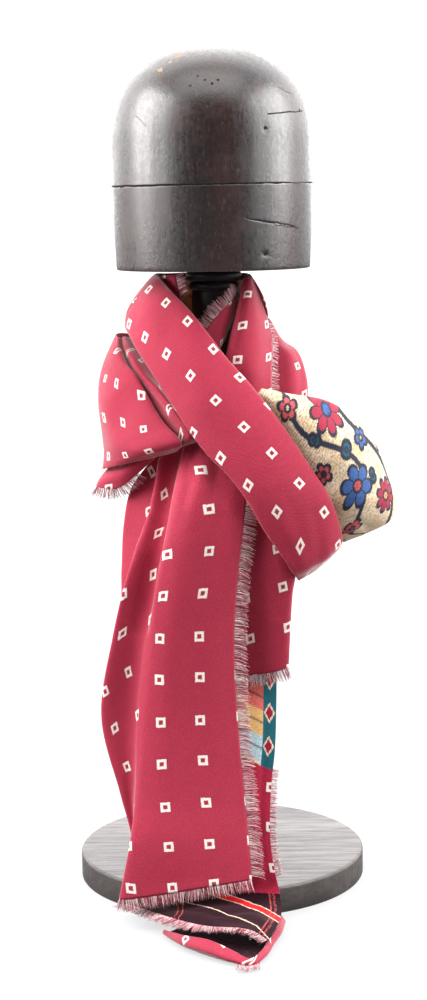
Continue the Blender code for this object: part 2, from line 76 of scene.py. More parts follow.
class ClothSettings(bpy.types.PropertyGroup):
    """Sizes and colours of the two-faced cloth."""
    wall: length("Wall", "Thickness of the cloth", 0.0011)
    cell: length("Cell", "Spacing of the cloth's points", 0.002)
    pitch: length("Square spacing", "From one woven square to the next", 0.0352)
    square: length("Square", "Width of a woven square", 0.0083)
    ring: length("Square border", "Width of a square's white border", 0.0023)
    rib: length("Twill rib", "Spacing of the twill's diagonal ribs", 0.0015)
    crimson: colour("Crimson", "Ground of the plain face", (0.385, 0.017, 0.048))
    # the darker crimson also paints the shadow ring round the woven squares
    shade: colour("Crimson shade", "Darker yarn of the plain face", (0.29, 0.011, 0.036))
    white: colour("White", "Woven squares", (0.86, 0.78, 0.72))
    cream: colour("Cream", "Ground of the flowered reverse", (0.80, 0.64, 0.45))
    navy: colour("Navy", "Outlines and stems on the reverse", (0.018, 0.024, 0.045))
    blue: colour("Blue", "Blue flowers on the reverse", (0.045, 0.12, 0.34))
    coral: colour("Coral", "Coral flowers on the reverse", (0.62, 0.09, 0.085))
    lint: colour("Lint", "Pale specks of the crimson yarn", (0.66, 0.13, 0.20))
    red: colour("Red", "Bar across the dark end of the reverse", (0.66, 0.010, 0.020))
    gold: colour("Gold", "Gold strips on the reverse", (0.64, 0.37, 0.12))
    teal: colour("Teal", "Teal strips on the reverse", (0.012, 0.105, 0.135))
    sky: colour("Light blue", "Light blue strips on the reverse", (0.36, 0.52, 0.58))
    plum: colour("Plum", "Dark end of the reverse", (0.018, 0.0025, 0.006))


class FringeSettings(bpy.types.PropertyGroup):
    """Sizes and colours of the frayed edges."""
    spacing: length("Spacing", "Along the edge from one yarn to the next", 0.00062)
    radius: length("Radius", "Radius of a yarn at its root", 0.00026)
    rose: colour("Rose", "Most of the yarns", (0.66, 0.20, 0.27))
    pale: colour("Pale", "Lighter yarns", (0.92, 0.70, 0.70))
    # burgundy: darker yarns, and painted shade too, as the lowest layer of yarns is mostly
    # burgundy
    dark: colour("Burgundy", "Darker yarns", (0.20, 0.012, 0.035))


class WoodSettings(bpy.types.PropertyGroup):
    """Finish of the stand."""
    lacquer: colour("Lacquer", "Dark lacquered wood", (0.010, 0.0075, 0.008))
    worn: colour("Worn lacquer", "Where the lacquer has rubbed thin", (0.040, 0.016, 0.014))
    bare: colour("Bare wood", "Chips down to the wood", (0.34, 0.19, 0.11))
    stain: colour("Stain", "Dark bands of the base", (0.050, 0.042, 0.040))
    grain: colour("Grain", "Light bands of the base", (0.098, 0.084, 0.080))


class StageSettings(bpy.types.PropertyGroup):
    """Floor and lights."""
    floor: colour("Floor", "Own colour of the pale floor, under its glow", (0.16, 0.16, 0.16))
    floor_glow: number("Floor glow", "Floor seen brighter", 0.66, max=1.0)
    ambient_front: number("Front ambient", "Even light from the camera's side", 0.05)
    ambient_sides: number("Side ambient", "Even light from both sides", 1.1)
    ambient_back: number("Back ambient", "More even light from behind", 2.4)
    key: number("Key", "Power of the left softbox and its strip", 16.5, unit='POWER')
    fill: number("Fill", "Power of the right softbox and its strip", 13.0, unit='POWER')
    top: number("Top", "Power of the overhead softbox", 4.8, unit='POWER')


# Tables of sections, in millimetres, as in the construction

def table(kind, rows):
    return [kind(*row) for row in rows]


BandSection = namedtuple("BandSection", "upper lower bulge turn")
# upper and lower edge (x, y, z); bulge: how far the face stands out between them;
# turn: how far the folded edges turn in (x, y, z)
LOOP = table(BandSection, [
    ((33, -2.7, 559), (48.5, -8.7, 521), 3, (-2, 0.5, 0)),
    ((28, 16, 559.5), (40, 22, 519), 4, (-2.4, -1.6, 0)),
    ((6, 26.5, 559), (8, 36, 517), 4, (0, -2.5, 0)),
    ((-20, 29, 560), (-28, 38, 514), 5, (1.2, -3.6, 0)),
    ((-43, 20, 560), (-60, 26, 512), 6, (3.5, -3, 0)),
    ((-52, 5, 560.5), (-77, 6, 511), 8, (5, 0, 0)),
])
BAND = table(BandSection, [
    ((-49, -12, 558), (-80, -14, 513), 8, (4.5, 2, 0)),
    ((-43, -26, 551), (-76, -29, 507), 8, (3, 4, 0)),
    ((-35, -39, 543), (-69, -40, 495), 8, (1.5, 4.7, 0)),
    ((-23, -50, 531), (-60, -50, 482), 8, (1, 4.9, 0)),
    ((-9, -59, 514), (-46, -63, 461), 9, (0, 5, 0)),
    ((10, -67, 489), (-27, -79, 432), 9, (0, 5, 0)),
    ((32, -74, 464), (-8, -89, 407), 8, (0, 5, 0)),
    ((58, -82, 430), (11, -96, 388), 8, (0, 5, 0)),
    ((82, -86, 393), (25, -100, 369), 8, (0, 5, 0)),
    ((97, -85, 369), (40, -100, 342), 7, (0, 5, 0)),
    ((106, -80, 346), (54, -98, 321), 6, (-0.5, 4.5, 0.5)),
    ((110, -72, 324), (66, -92, 301), 5, (-1, 4, 2.5)),
    ((103, -60, 311), (71, -78, 292), 2, (-1.5, 1.5, 4.5)),
])
# The stretch that goes back behind the tails: upper edge, crown and lower edge
KnotSection = namedtuple("KnotSection", "upper crown lower")
KNOT_BACK = table(KnotSection, [
    ((102.6, -59.3, 310.2), (87.5, -68.6, 299), (71.3, -77.1, 291.4)),
    ((92, -42, 324), (80, -40, 312), (66, -50, 296)),
    ((68, -30, 356), (58, -27, 336), (50, -32, 312)),
    ((34, -26, 386), (28, -23.5, 362), (24, -27, 338)),
    ((0, -26, 408), (-2, -23, 384), (-4, -26, 358)),
    ((-36, -24, 424), (-36, -19, 400), (-36, -24, 374)),
    ((-66, -14, 434), (-66, -8, 412), (-64, -14, 390)),
])

DrapeSection = namedtuple("DrapeSection", "back side swell tuck valley pleat under")
LEFT_DRAPE = table(DrapeSection, [
    ((-76, 16, 506), (-86, -2, 508), (-89, -11, 507), (-87, -18, 505),
     (-84, -14, 504), (-82, -16, 505), (-72, -6, 502)),
    ((-82, 16, 492), (-94, -4, 493), (-94, -18, 495), (-87, -29, 497),
     (-82, -23, 494), (-80, -28, 498), (-69, -17, 495)),
    ((-88, 14, 466), (-103, -7, 467), (-99, -27, 473), (-81, -40, 484),
     (-77, -32, 480), (-74, -38, 488), (-63, -27, 484)),
    ((-90, 10, 440), (-106, -13, 441), (-97, -38, 451), (-72, -49, 474),
     (-70, -41, 468), (-66, -48, 475), (-54, -36, 471)),
    ((-90, 5, 418), (-104, -19, 418), (-90, -48, 430), (-62, -57, 457),
     (-60, -49, 452), (-51, -60, 460), (-42, -47, 455)),
    ((-88, 0, 404), (-102, -24, 404), (-84, -58, 412), (-49, -69, 434),
     (-46, -60, 432), (-35.5, -73, 440), (-27, -60, 433)),
    ((-88, -3, 394), (-102, -27, 395), (-76, -64, 405), (-32, -79, 416),
     (-31, -69, 415), (-22.5, -78.3, 422.5), (-14, -68, 420)),
    ((-89, -6, 388), (-103, -28, 387), (-78, -55, 396), (-36, -66, 407),
     (-34, -60, 408), (-28, -64, 412), (-19, -60, 414)),
])
FlapSection = namedtuple("FlapSection", "back side front end")
HEM_FLAP = table(FlapSection, [
    ((-78, -6, 392), (-91.8, -19.8, 394), (-71, -45, 402), (-46, -54, 409)),
    ((-92, -10, 385), (-105, -26, 379), (-84, -46, 387), (-52, -53, 405)),
    ((-95, -14, 372), (-109, -26, 372), (-90, -41, 371), (-56, -50, 398)),
])

StripSection = namedtuple("StripSection", "hidden fringed")
NECK_LEFT = table(StripSection, [
    ((-46.3, -8.5, 560), (-34, -19, 560.5)),
    ((-44.8, -11.5, 550), (-32, -23, 549)),
    ((-39, -19, 541), (-30, -27, 539)),
])
InnerSection = namedtuple("InnerSection", "low_end low_side high_side high_end")
INNER_STRIP = table(InnerSection, [
    ((-9, -38, 509), (1, -33, 523), (12, -28, 533), (22, -15, 544)),
    ((-6, -43, 497), (4, -37, 510), (13, -30, 521), (20, -18, 530)),
    ((0, -47, 483), (4, -41, 494), (9, -34, 503), (13, -25, 512)),
])
FrontFold = namedtuple("FrontFold", "inner crease middle edge")
RIGHT_DRAPE = table(FrontFold, [
    ((25, -9, 552), (28, -13, 556), (32, -13, 556.5), (34.5, -4, 557)),
    ((24, -18, 540), (26, -25, 541), (33, -24, 541), (40, -7, 541)),
    ((20, -30, 519), (20, -37, 519), (34, -37, 518), (48, -12, 519)),
    ((14, -39, 498), (14, -46, 498), (33, -46, 497), (52, -22, 497)),
    ((9, -44, 478), (8, -51, 478), (31, -52, 478), (51, -31, 478)),
    ((5, -43, 456), (4, -50, 456), (29, -50, 455), (50, -36, 455)),
    ((2, -40, 436), (2, -46, 436), (27, -46, 436), (48, -36, 436)),
])
Shoulder = namedtuple("Shoulder", "back_end back side front front_end")
RIGHT_SHOULDER = table(Shoulder, [
    ((30, 30, 517.7), (42, 23, 517.7), (50, 4, 518.5), (49, -5, 517.5), (44, -8, 516.5)),
    ((32, 34, 500), (52, 24, 499), (62, 4, 499), (58, -9, 498), (47, -13, 497)),
    ((33, 35, 486), (60, 24, 487), (75, 2, 489), (68, -14, 487), (49, -19, 485)),
    ((33, 34, 468), (62, 22, 469), (82, -3, 470), (72, -18, 469), (48, -24, 467)),
    ((31, 31, 450), (59, 18, 450), (84, -7, 450), (73, -23, 450), (47, -27, 449)),
    ((28, 27, 438), (54, 14, 438), (82, -9, 438), (70, -23, 438), (45, -27, 438)),
])

Rib = namedtuple("Rib", "inner face outer back back_inner")
WING = table(Rib, [
    ((32, -62, 450), (37, -68, 457), (41, -65, 461), (41, -60, 456), (35, -56, 448)),
    ((42, -66, 442), (55, -74, 451), (64, -63, 456), (63, -55, 451), (54, -52, 441)),
    ((54, -70, 425), (75, -79, 439), (94, -58, 449), (92, -44, 443), (78, -38, 430)),
    ((64, -73, 409), (94, -83, 423), (121, -54, 433), (116, -32, 425), (96, -24, 408)),
    ((74, -75, 394), (109, -85, 407), (141, -50, 410), (132, -24, 400), (104, -16, 386)),
    ((84, -76, 380), (118, -83, 387), (152, -47, 382), (141, -22, 374), (110, -15, 364)),
    ((91, -79.1, 366), (123, -80, 366), (159, -47, 358), (147, -26, 352), (114, -20, 346)),
    ((95, -72, 352), (125, -75, 349), (154, -49, 340), (143, -33, 335), (116, -29, 333)),
    ((99, -68, 338), (120, -70, 336), (136, -56, 331), (130, -45, 327), (114, -41, 325)),
    ((103, -64, 329), (108, -66, 328), (114, -62, 325), (114, -55, 322), (109, -50, 321)),
])

TailSection = namedtuple("TailSection", "height edge_x ridge_x fold_x back_x front valley panel")
FRONT_TAIL = table(TailSection, [
    (432, 32, -16, -36, -45, -55, 6, 7),
    (414, 31, -22, -42, -50, -60, 8, 11),
    (396, 29, -27, -50, -58, -72, 18, 24),
    (370, 26, -33, -56, -77, -89, 26, 38),
    (340, 22, -39, -65, -84, -97, 20, 30),
    (300, 17, -48, -80, -86, -101, 13, 17),
    (245, 13, -57, -94, -86, -105, 11, 15),
    (175, 15, -65, -105, -88, -114, 11, 15),
    (110, 20, -73, -89, -76, -130, 8, 13),
    (72, 23, -80, -79, -71, -144, 9, 15),
    (26, 25, -90, -76, -66, -155, 9, 17),
])
HEM_RISE = 15.0                  # the hem's fringed corner hangs higher than its left one

SideSection = namedtuple("SideSection", "hidden face bend edge turned")
SIDE_TAIL = table(SideSection, [
    ((-4, -62, 352), (24, -70, 350), (50, -78, 346), (62, -70, 342), (56, -62, 340)),
    ((-3, -70, 318), (26, -80, 316), (55, -88.2, 312), (68.4, -82, 306), (58, -69, 308)),
    ((-2, -74, 286), (26, -80, 284), (54, -87, 282), (65, -82, 280), (58, -72, 280)),
    ((0, -75, 250), (26, -79, 250), (52, -86, 250), (63, -82, 250), (57, -72, 250)),
    ((2, -75, 202), (26, -80, 206), (50, -86, 211), (61, -83, 214), (56, -74, 214)),
])
UnderSection = namedtuple("UnderSection", "right right_face left_face left")
UNDER_TAIL = table(UnderSection, [
    ((42, -44, 346), (28, -42, 348), (8, -41, 350), (-12, -42, 350)),
    ((46, -50, 300), (30, -50, 300), (8, -50, 300), (-18, -49, 300)),
    ((50, -58, 240), (32, -60, 240), (8, -61, 240), (-24, -58, 240)),
    ((51, -66, 205), (34, -68, 205), (8, -69, 205), (-27, -66, 205)),
    ((50, -80, 175), (33, -84, 175), (7, -85, 175), (-29, -80, 175)),
    ((48, -95, 142), (31, -99, 142), (5, -101, 142), (-31, -94, 142)),
    ((44, -106, 112), (28, -110, 112), (4, -112, 112), (-34, -105, 112)),
    ((42, -120, 72), (26, -124, 72), (2, -126, 72), (-37, -119, 72)),
    ((45, -128, 44), (28, -131, 44), (0, -134, 44), (-40, -128.5, 44)),
    ((49, -135, 27), (30, -134, 25), (-3, -133.7, 23.2), (-50, -128, 25)),
    ((50, -165, 15.5), (28, -166, 19), (-12, -166, 20), (-66, -136, 13)),
    ((46, -188, 14), (30, -189, 18), (-14, -184, 19), (-76, -131, 12)),
    ((37, -216, 11), (22, -210, 18), (-18, -195, 17), (-87, -122, 11)),
])
TipSection = namedtuple("TipSection", "back floor bottom swell lip")
TAIL_TIP = table(TipSection, [
    ((-30, -149, 2), (-38, -160, 1.9), (-48, -171, 2.0), (-53, -177, 4), (-51, -180, 8)),
    ((-18, -149, 2), (-24, -176, 1.9), (-33, -202, 1.9), (-37, -207, 6), (-33, -205, 12)),
    ((-7, -148, 2), (-8, -190, 1.9), (-14, -224, 1.9), (-16, -229, 7), (-12, -222, 14)),
    ((4, -148, 2), (6, -198, 1.9), (6, -240, 1.9), (5, -244, 5), (7, -236, 10)),
    ((14, -147, 2), (18, -200, 1.9), (20, -247, 1.9), (22, -250, 3.5), (21, -246, 7)),
    ((21, -147, 2), (24, -192, 1.9), (31, -232, 1.9), (34, -234, 4), (31, -231, 8)),
    ((27, -147, 2), (28, -180, 1.9), (39, -207, 1.9), (42, -208, 5), (38.5, -208, 9.3)),
    ((31, -147, 2), (32, -168, 1.9), (45, -184, 1.9), (49.5, -184, 6), (46.5, -185, 12.2)),
    ((35, -147, 2), (34, -156, 1.9), (48, -164, 1.9), (53, -164, 7), (50, -165, 13.6)),
])
EDGE_FOLD = 6                    # how far a band's folded edges turn in along its face
EDGE_ROUND = 0.5                 # and how far they stand in at the turn
TAIL_FOLD = 15                   # most that the front tail's back fold goes back


def band_section(section):
    """Turned-in upper edge, upper edge, face, lower edge, turned-in lower edge."""
    upper, lower, turn = Vector(section.upper), Vector(section.lower), Vector(section.turn)
    down = (lower - upper).normalized()
    inward = turn.normalized()
    outward = -inward * section.bulge
    return [upper + down * EDGE_FOLD + turn, upper + inward * EDGE_ROUND,
            upper.lerp(lower, 0.3) + outward * 0.85, upper.lerp(lower, 0.68) + outward,
            lower + inward * EDGE_ROUND, lower - down * EDGE_FOLD + turn]


def tail_section(section):
    """From the fringed edge over the ridge and the valley to the fold and its back."""
    z, front = section.height, section.front
    rise = HEM_RISE if section is FRONT_TAIL[-1] else 0.0
    span = section.ridge_x - section.edge_x
    behind = front + section.panel
    fold_back = min(section.panel, TAIL_FOLD)
    return [(section.edge_x, front + 5, z + rise),
            (section.edge_x + 0.33 * span, front, z + rise * 0.7),
            (section.edge_x + 0.72 * span, front - 2, z + rise * 0.3),
            (section.ridge_x, front + 3, z),
            (section.ridge_x + 0.25 * (section.fold_x - section.ridge_x), front + section.valley,
             z + rise * 0.2),
            (section.fold_x, behind, z + rise * 0.3),
            (section.fold_x + 5, behind + 0.5 * fold_back, z + rise * 0.4),
            (section.back_x, behind + 1.1 * fold_back, z + rise * 0.6),
            (section.back_x + 14, behind + 1.5 * fold_back, z + rise)]


# Creases pressed into the cloth, and where its woven squares lie

# from (across, down) to (to_across, to_down), as shares of the surface; width and depth in
# millimetres, depth above 0 for a trough and below 0 for a ridge
Crease = namedtuple("Crease", "across down to_across to_down width depth")
# the middle of the square in this column and row, in millimetres across and down the surface
Pin = namedtuple("Pin", "across down column row")

BAND_CREASES = table(Crease, [
    (0.30, 0.42, 0.62, 0.60, 9, 1.2),
    (0.55, 0.50, 0.34, 0.72, 10, -1.0),
    (0.72, 0.55, 0.52, 0.80, 8, 1.0),
    (0.50, 0.78, 0.62, 0.99, 6, 1.4),
    (0.36, 0.84, 0.58, 1.00, 5, 1.2),
    (0.26, 0.80, 0.44, 0.97, 7, -1.0),
    (0.70, 0.84, 0.72, 0.99, 4, 1.0),
    (0.44, 0.33, 0.70, 0.42, 8, 0.9),
])
LEFT_DRAPE_CREASES = table(Crease, [
    (0.22, 0.10, 0.38, 0.95, 7, -1.4),
    (0.12, 0.25, 0.26, 0.98, 8, 1.3),
    (0.40, 0.45, 0.30, 0.92, 6, 1.2),
    (0.05, 0.15, 0.10, 0.80, 9, -1.0),
    (0.66, 0.20, 0.78, 0.70, 3, 0.9),
])
RIGHT_DRAPE_CREASES = table(Crease, [
    (0.15, 0.02, 0.20, 0.80, 2.6, 2.6),
    (0.26, 0.02, 0.30, 0.70, 3.0, -1.6),
    (0.38, 0.02, 0.44, 0.55, 3.2, 1.5),
    (0.48, 0.05, 0.62, 0.80, 7, -1.2),
    (0.62, 0.30, 0.50, 0.95, 6, 1.1),
])
SHOULDER_CREASES = table(Crease, [
    (0.55, 0.10, 0.68, 0.90, 7, 1.2),
    (0.78, 0.20, 0.82, 0.95, 6, -1.1),
])
WING_CREASES = table(Crease, [
    (0.10, 0.30, 0.42, 0.55, 9, 1.6),
    (0.20, 0.62, 0.55, 0.80, 10, -1.5),
    (0.15, 0.80, 0.60, 0.93, 6, 1.2),
    (0.30, 0.15, 0.70, 0.35, 10, -1.2),
    (0.65, 0.40, 0.95, 0.60, 9, 1.3),
])
FRONT_TAIL_CREASES = table(Crease, [
    (0.55, 0.10, 0.51, 0.60, 8, 9.0),
    (0.44, 0.03, 0.43, 0.60, 8, -3.0),
    (0.53, 0.44, 0.55, 0.98, 6, 4.5),
    (0.72, 0.11, 0.66, 0.40, 6, 4.0),
    (0.64, 0.05, 0.60, 0.44, 5, -2.0),
    (0.16, 0.00, 0.18, 0.32, 5, 2.2),
    (0.29, 0.02, 0.26, 0.40, 6, -1.8),
    (0.34, 0.00, 0.35, 0.26, 5, 1.8),
    (0.02, 0.30, 0.16, 0.98, 11, -0.9),
    (0.16, 0.22, 0.13, 0.60, 9, 1.1),
    (0.30, 0.30, 0.24, 0.97, 10, -1.3),
    (0.20, 0.55, 0.17, 0.99, 12, 1.5),
    (0.52, 0.40, 0.64, 0.34, 4.5, 1.6),
    (0.50, 0.47, 0.66, 0.43, 6, -1.2),
    (0.58, 0.52, 0.52, 0.80, 7, 1.0),
    (0.80, 0.20, 0.86, 0.50, 6, 1.0),
    (0.26, 0.12, 0.33, 0.34, 5, 1.2),
    (0.08, 0.14, 0.14, 0.34, 6, 0.9),
])
SIDE_TAIL_CREASES = table(Crease, [
    (0.35, 0.10, 0.50, 0.70, 6, 1.0),
    (0.70, 0.25, 0.60, 0.95, 6, -0.9),
])
UNDER_TAIL_CREASES = table(Crease, [
    (0.20, 0.30, 0.15, 0.74, 6, 0.9),
    (0.45, 0.86, 0.10, 0.97, 9, -1.2),
    (0.70, 0.84, 0.45, 0.99, 8, 1.0),
    (0.30, 0.78, 0.60, 0.90, 7, 1.0),
])
TIP_CREASES = table(Crease, [
    (0.62, 0.16, 0.70, 0.34, 5, 0.7),
])

BAND_PINS = table(Pin, [
    (20, 6, 0, 0), (16, 64, 0, 2), (14, 98, 0, 3),
    (53, 41, 1, 1), (47, 102, 1, 3), (39, 168, 1, 5), (25, 237, 1, 7),
    (19, 273, 1, 8), (79, 131, 2, 4), (64, 202, 2, 6), (50, 279, 2, 8),
])
LEFT_DRAPE_PINS = table(Pin, [
    (55, 17, 1, 0), (81, 20, 2, 0), (52, 44, 1, 1), (71, 49, 2, 1),
    (51, 82, 1, 2), (74, 88, 2, 2), (94, 100, 3, 2), (43, 118, 1, 3),
    (100, 70, 3, 1), (138, 91, 4, 2), (137, 115, 4, 3),
])
INNER_PINS = table(Pin, [(37, 30, 2, 1), (18, 28, 1, 1), (36, 62, 2, 2)])
RIGHT_DRAPE_PINS = table(Pin, [(15, 19, 1, 1), (19, 50, 1, 2), (21, 82, 1, 3), (53, 46, 2, 2)])
SHOULDER_PINS = table(Pin, [(74, 50, 2, 1), (76, 78, 2, 2), (40, 52, 1, 1)])
FRONT_PINS = table(Pin, [
    (33, 85, 1, 2), (31, 158, 1, 4), (32, 233, 1, 6), (34, 306, 1, 8),
    (34, 377, 1, 10), (34, 413, 1, 11), (-5, 196, 0, 5), (-4, 342, 0, 9),
    (81, 90, 2, 2), (64, 127, 2, 3),
    (66, 201, 2, 5), (68, 275, 2, 7), (71, 347, 2, 9), (69, 416, 2, 11),
])
PANEL_PINS = table(Pin, [
    (93, 145, 3, 3), (82, 181, 3, 4), (108, 201, 4, 4), (102, 235, 4, 5),
    (93, 267, 4, 6), (123, 253, 5, 5), (117, 285, 5, 6), (109, 319, 5, 7),
    (100, 349, 5, 8), (101, 391, 5, 9), (102, 419, 5, 10), (125, 125, 4, 2),
])
SIDE_TAIL_PINS = table(Pin, [(58, 26, 2, 1), (61, 60, 2, 2), (62, 96, 2, 3), (28, 112, 1, 3)])


def through(points, places):
    """A smooth curve through the points (centripetal Catmull-Rom), at places from 0 to 1."""
    spans = len(points) - 1
    at = np.clip(places, 0.0, 1.0) * spans
    k = np.minimum(at.astype(int), spans - 1)
    t = (at - k)[:, None, None]
    b, c = points[k], points[k + 1]
    a = np.where((k > 0)[:, None, None], points[np.maximum(k - 1, 0)], 2 * b - c)
    d = np.where((k + 2 <= spans)[:, None, None], points[np.minimum(k + 2, spans)], 2 * c - b)
    ab, bc, cd = (np.sqrt(np.maximum(np.linalg.norm(q - p, axis=2, keepdims=True), 1e-6))
                  for p, q in ((a, b), (b, c), (c, d)))
    leave = c - b + ((b - a) / ab - (c - a) / (ab + bc)) * bc
    arrive = c - b + ((d - c) / cd - (d - b) / (bc + cd)) * bc
    return (b * (2 * t ** 3 - 3 * t ** 2 + 1) + leave * (t ** 3 - 2 * t ** 2 + t)
            + c * (3 * t ** 2 - 2 * t ** 3) + arrive * (t ** 3 - t ** 2))


def unit(vectors):
    return vectors / np.maximum(np.linalg.norm(vectors, axis=-1, keepdims=True), 1e-9)


def travelled(points, axis):
    """Distance along the rows (axis 1) or down the columns (axis 0), from the first point."""
    steps = np.linalg.norm(np.diff(points, axis=axis), axis=2)
    start = np.zeros((points.shape[0], 1) if axis else (1, points.shape[1]))
    return np.concatenate([start, np.cumsum(steps, axis=axis)], axis=axis)


PIN_EASE = 2e-5                  # lets the pattern miss a pin a little, so it stays smooth


class Cloth:
    """A cloth surface on a fine grid of points in metres, with its pattern coordinates.

    Rows run across each section and columns run down from the first section to the last.
    facing is a direction that the shown side looks to, near its middle. Past the cut, a share
    across where the cloth doubles under out of sight, the pattern follows its own pins.
    """

    def __init__(self, sections, facing, first=0.0, last=1.0, creases=(), pins=(), cut=1.0,
                 pins_past_cut=()):
        cell = bpy.context.scene.cravat_cloth.cell
        knots = np.array([[tuple(point) for point in section] for section in sections])
        knots = knots.astype(float) * MM
        widest = np.linalg.norm(np.diff(knots, axis=1), axis=2).sum(axis=1).max()
        longest = np.linalg.norm(np.diff(knots, axis=0), axis=2).sum(axis=0).max()
        self.columns = max(6, round(widest / cell))
        self.rows = max(6, round(longest * (last - first) / cell))
        self.across = np.linspace(0.0, 1.0, self.columns + 1)
        self.down = np.linspace(first, last, self.rows + 1)
        by_section = through(knots.transpose(1, 0, 2), self.across).transpose(1, 0, 2)
        self.points = through(by_section, self.down)
        self.measure()
        middle = self.normals[self.rows // 2, self.columns // 2]
        self.flipped = bool(middle @ np.array(facing, dtype=float) < 0)
        if creases:
            self.press(creases)
        self.cut = round(cut * self.columns)
        self.pattern = self.pinned(pins)
        self.pattern_past_cut = self.pinned(pins_past_cut) if pins_past_cut else self.pattern

    def measure(self):
        """Directions of growing across and down, the normals, and the distances travelled."""
        self.over = unit(np.gradient(self.points, axis=1))
        self.along = unit(np.gradient(self.points, axis=0))
        self.normals = unit(np.cross(self.over, self.along))
        self.crosswise = travelled(self.points, 1)
        self.downwards = travelled(self.points, 0)
        self.width = self.crosswise[:, -1].mean()
        self.length = self.downwards[-1].mean()

    def press(self, creases):
        """Moves the points along their normals into soft troughs and ridges."""
        place = np.stack(np.meshgrid(self.across * self.width, self.down * self.length), axis=-1)
        rise = np.zeros(place.shape[:2])
        for crease in creases:
            start = np.array([crease.across * self.width, crease.down * self.length])
            line = np.array([crease.to_across * self.width, crease.to_down * self.length]) - start
            share = ((place - start) @ line / (line @ line)).clip(0.0, 1.0)
            away = np.linalg.norm(place - start - share[..., None] * line, axis=-1)
            fade = (4 * share * (1 - share)) ** 0.6
            rise -= crease.depth * MM * fade * np.exp(-(away / (crease.width * MM)) ** 2)
        side = -1.0 if self.flipped else 1.0
        self.points = self.points + self.normals * (side * rise)[..., None]
        self.measure()

    def pinned(self, pins):
        """Pattern coordinates: distances across and down, eased so that the pins agree."""
        flat = np.stack([self.crosswise, self.downwards], axis=-1)
        if not pins:
            return flat
        pitch = bpy.context.scene.cravat_cloth.pitch
        held = np.array([[pin.across, pin.down] for pin in pins]) * MM
        shift = np.array([[pin.column, pin.row] for pin in pins]) * pitch - held

        def swell(away):
            return away ** 2 * np.log(np.maximum(away, 1e-6))

        count = len(pins)
        plane = np.column_stack([np.ones(count), held])
        system = np.zeros((count + 3, count + 3))
        system[:count, :count] = swell(np.linalg.norm(held[:, None] - held[None], axis=2))
        system[:count, :count] += np.eye(count) * PIN_EASE
        system[:count, count:] = plane
        system[count:, :count] = plane.T
        weights = np.linalg.lstsq(system, np.vstack([shift, np.zeros((3, 2))]), rcond=None)[0]
        away = np.linalg.norm(flat[..., None, :] - held, axis=-1)
        return (flat + swell(away) @ weights[:count] + weights[count]
                + flat @ weights[count + 1:])

    def edge(self, side, start, end):
        """Points, outward directions, shown side, pattern places and their outward growth."""
        cells = self.columns if side in ("hem", "top") else self.rows
        low, high = round(start * cells), round(end * cells) + 1
        pick = {"hem": (-1, slice(low, high)), "top": (0, slice(low, high)),
                "left": (slice(low, high), 0), "right": (slice(low, high), -1)}[side]
        inner = {"hem": (-2, pick[1]), "top": (1, pick[1]),
                 "left": (pick[0], 1), "right": (pick[0], -2)}[side]
        points = self.points[pick]
        outward = unit(points - self.points[inner])
        along = unit(np.gradient(points, axis=0))
        outward = unit(outward - along * (outward * along).sum(axis=1, keepdims=True))
        step = np.linalg.norm(points - self.points[inner], axis=1, keepdims=True)
        pattern = np.where((np.arange(self.columns + 1) < self.cut)[None, :, None],
                           self.pattern, self.pattern_past_cut)
        growth = (pattern[pick] - pattern[inner]) / step
        shown = -self.normals[pick] if self.flipped else self.normals[pick]
        return points, outward, shown, pattern[pick], growth


def put(name, data):
    """An object for the data, in the scene."""
    thing = bpy.data.objects.new(name, data)
    bpy.context.scene.collection.objects.link(thing)
    return thing


def to_mesh(name, bm):
    mesh = bpy.data.meshes.new(name)
    bm.to_mesh(mesh)
    bm.free()
    return mesh


def add_piece(name, mesh, materials, node):
    """The mesh as a piece of the object, in place of the solid named."""
    for material in materials:
        mesh.materials.append(bpy.data.materials[material])
    piece = put(name, mesh)
    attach(piece, "root")
    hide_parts(node)
    return piece


def shell(name, cloth, materials, node):
    """A thin two-faced shell on the cloth's points, which rests on its carrier.

    The materials are those of its shown side and of its back.
    """
    bm = bmesh.new()
    layer = bm.loops.layers.uv.new("Pattern")
    bmesh.ops.create_grid(bm, x_segments=cloth.columns, y_segments=cloth.rows, size=1.0,
                          calc_uvs=True)
    places = {vert: (round((vert.co.y + 1) / 2 * cloth.rows),
                     round((vert.co.x + 1) / 2 * cloth.columns)) for vert in bm.verts}
    for face in bm.faces:
        face.smooth = True
        first = min(places[vert][1] for vert in face.verts)
        pattern = cloth.pattern if first < cloth.cut else cloth.pattern_past_cut
        for loop in face.loops:
            loop[layer].uv = pattern[places[loop.vert]]
    for vert, place in places.items():
        vert.co = cloth.points[place]
    if cloth.flipped:
        bmesh.ops.reverse_faces(bm, faces=bm.faces)
    piece = add_piece(name, to_mesh(name, bm), materials, node)
    wall = piece.modifiers.new("Wall", 'SOLIDIFY')
    wall.thickness = bpy.context.scene.cravat_cloth.wall
    wall.offset = 0.0
    wall.material_offset = 1


# Frayed edges

# share of the yarns, reach, lift off the cloth in millimetres, thickness, range of strand shades;
# the lower layers get darker strand shades, which is painted shade between the yarns in front
YarnLayer = namedtuple("YarnLayer", "share reach lift thickness darkest lightest")
YARN_LAYERS = table(YarnLayer, [
    (0.70, 1.0, 0.25, 1.05, 0.12, 1.0),
    (0.80, 0.93, 0.0, 0.95, 0.05, 0.9),
    (0.85, 0.80, -0.35, 0.95, 0.0, 0.35),
])
CLUMP = 0.0024                   # yarns lean together in clumps about this far apart
CLUMP_PULL = 0.72                # how far each leans to the middle of its clump
SWAY = 0.013                     # the lean changes slowly along the edge
YARN_STEPS = 5
YARN_SIDES = 3
ROOT_TUCK = 0.0008               # how far a yarn starts inside the cloth's edge
YARN_FLOOR = 0.0009              # no yarn goes below this height
FRINGE_REACH = 0.011             # how far most of the frayed yarns reach, in metres


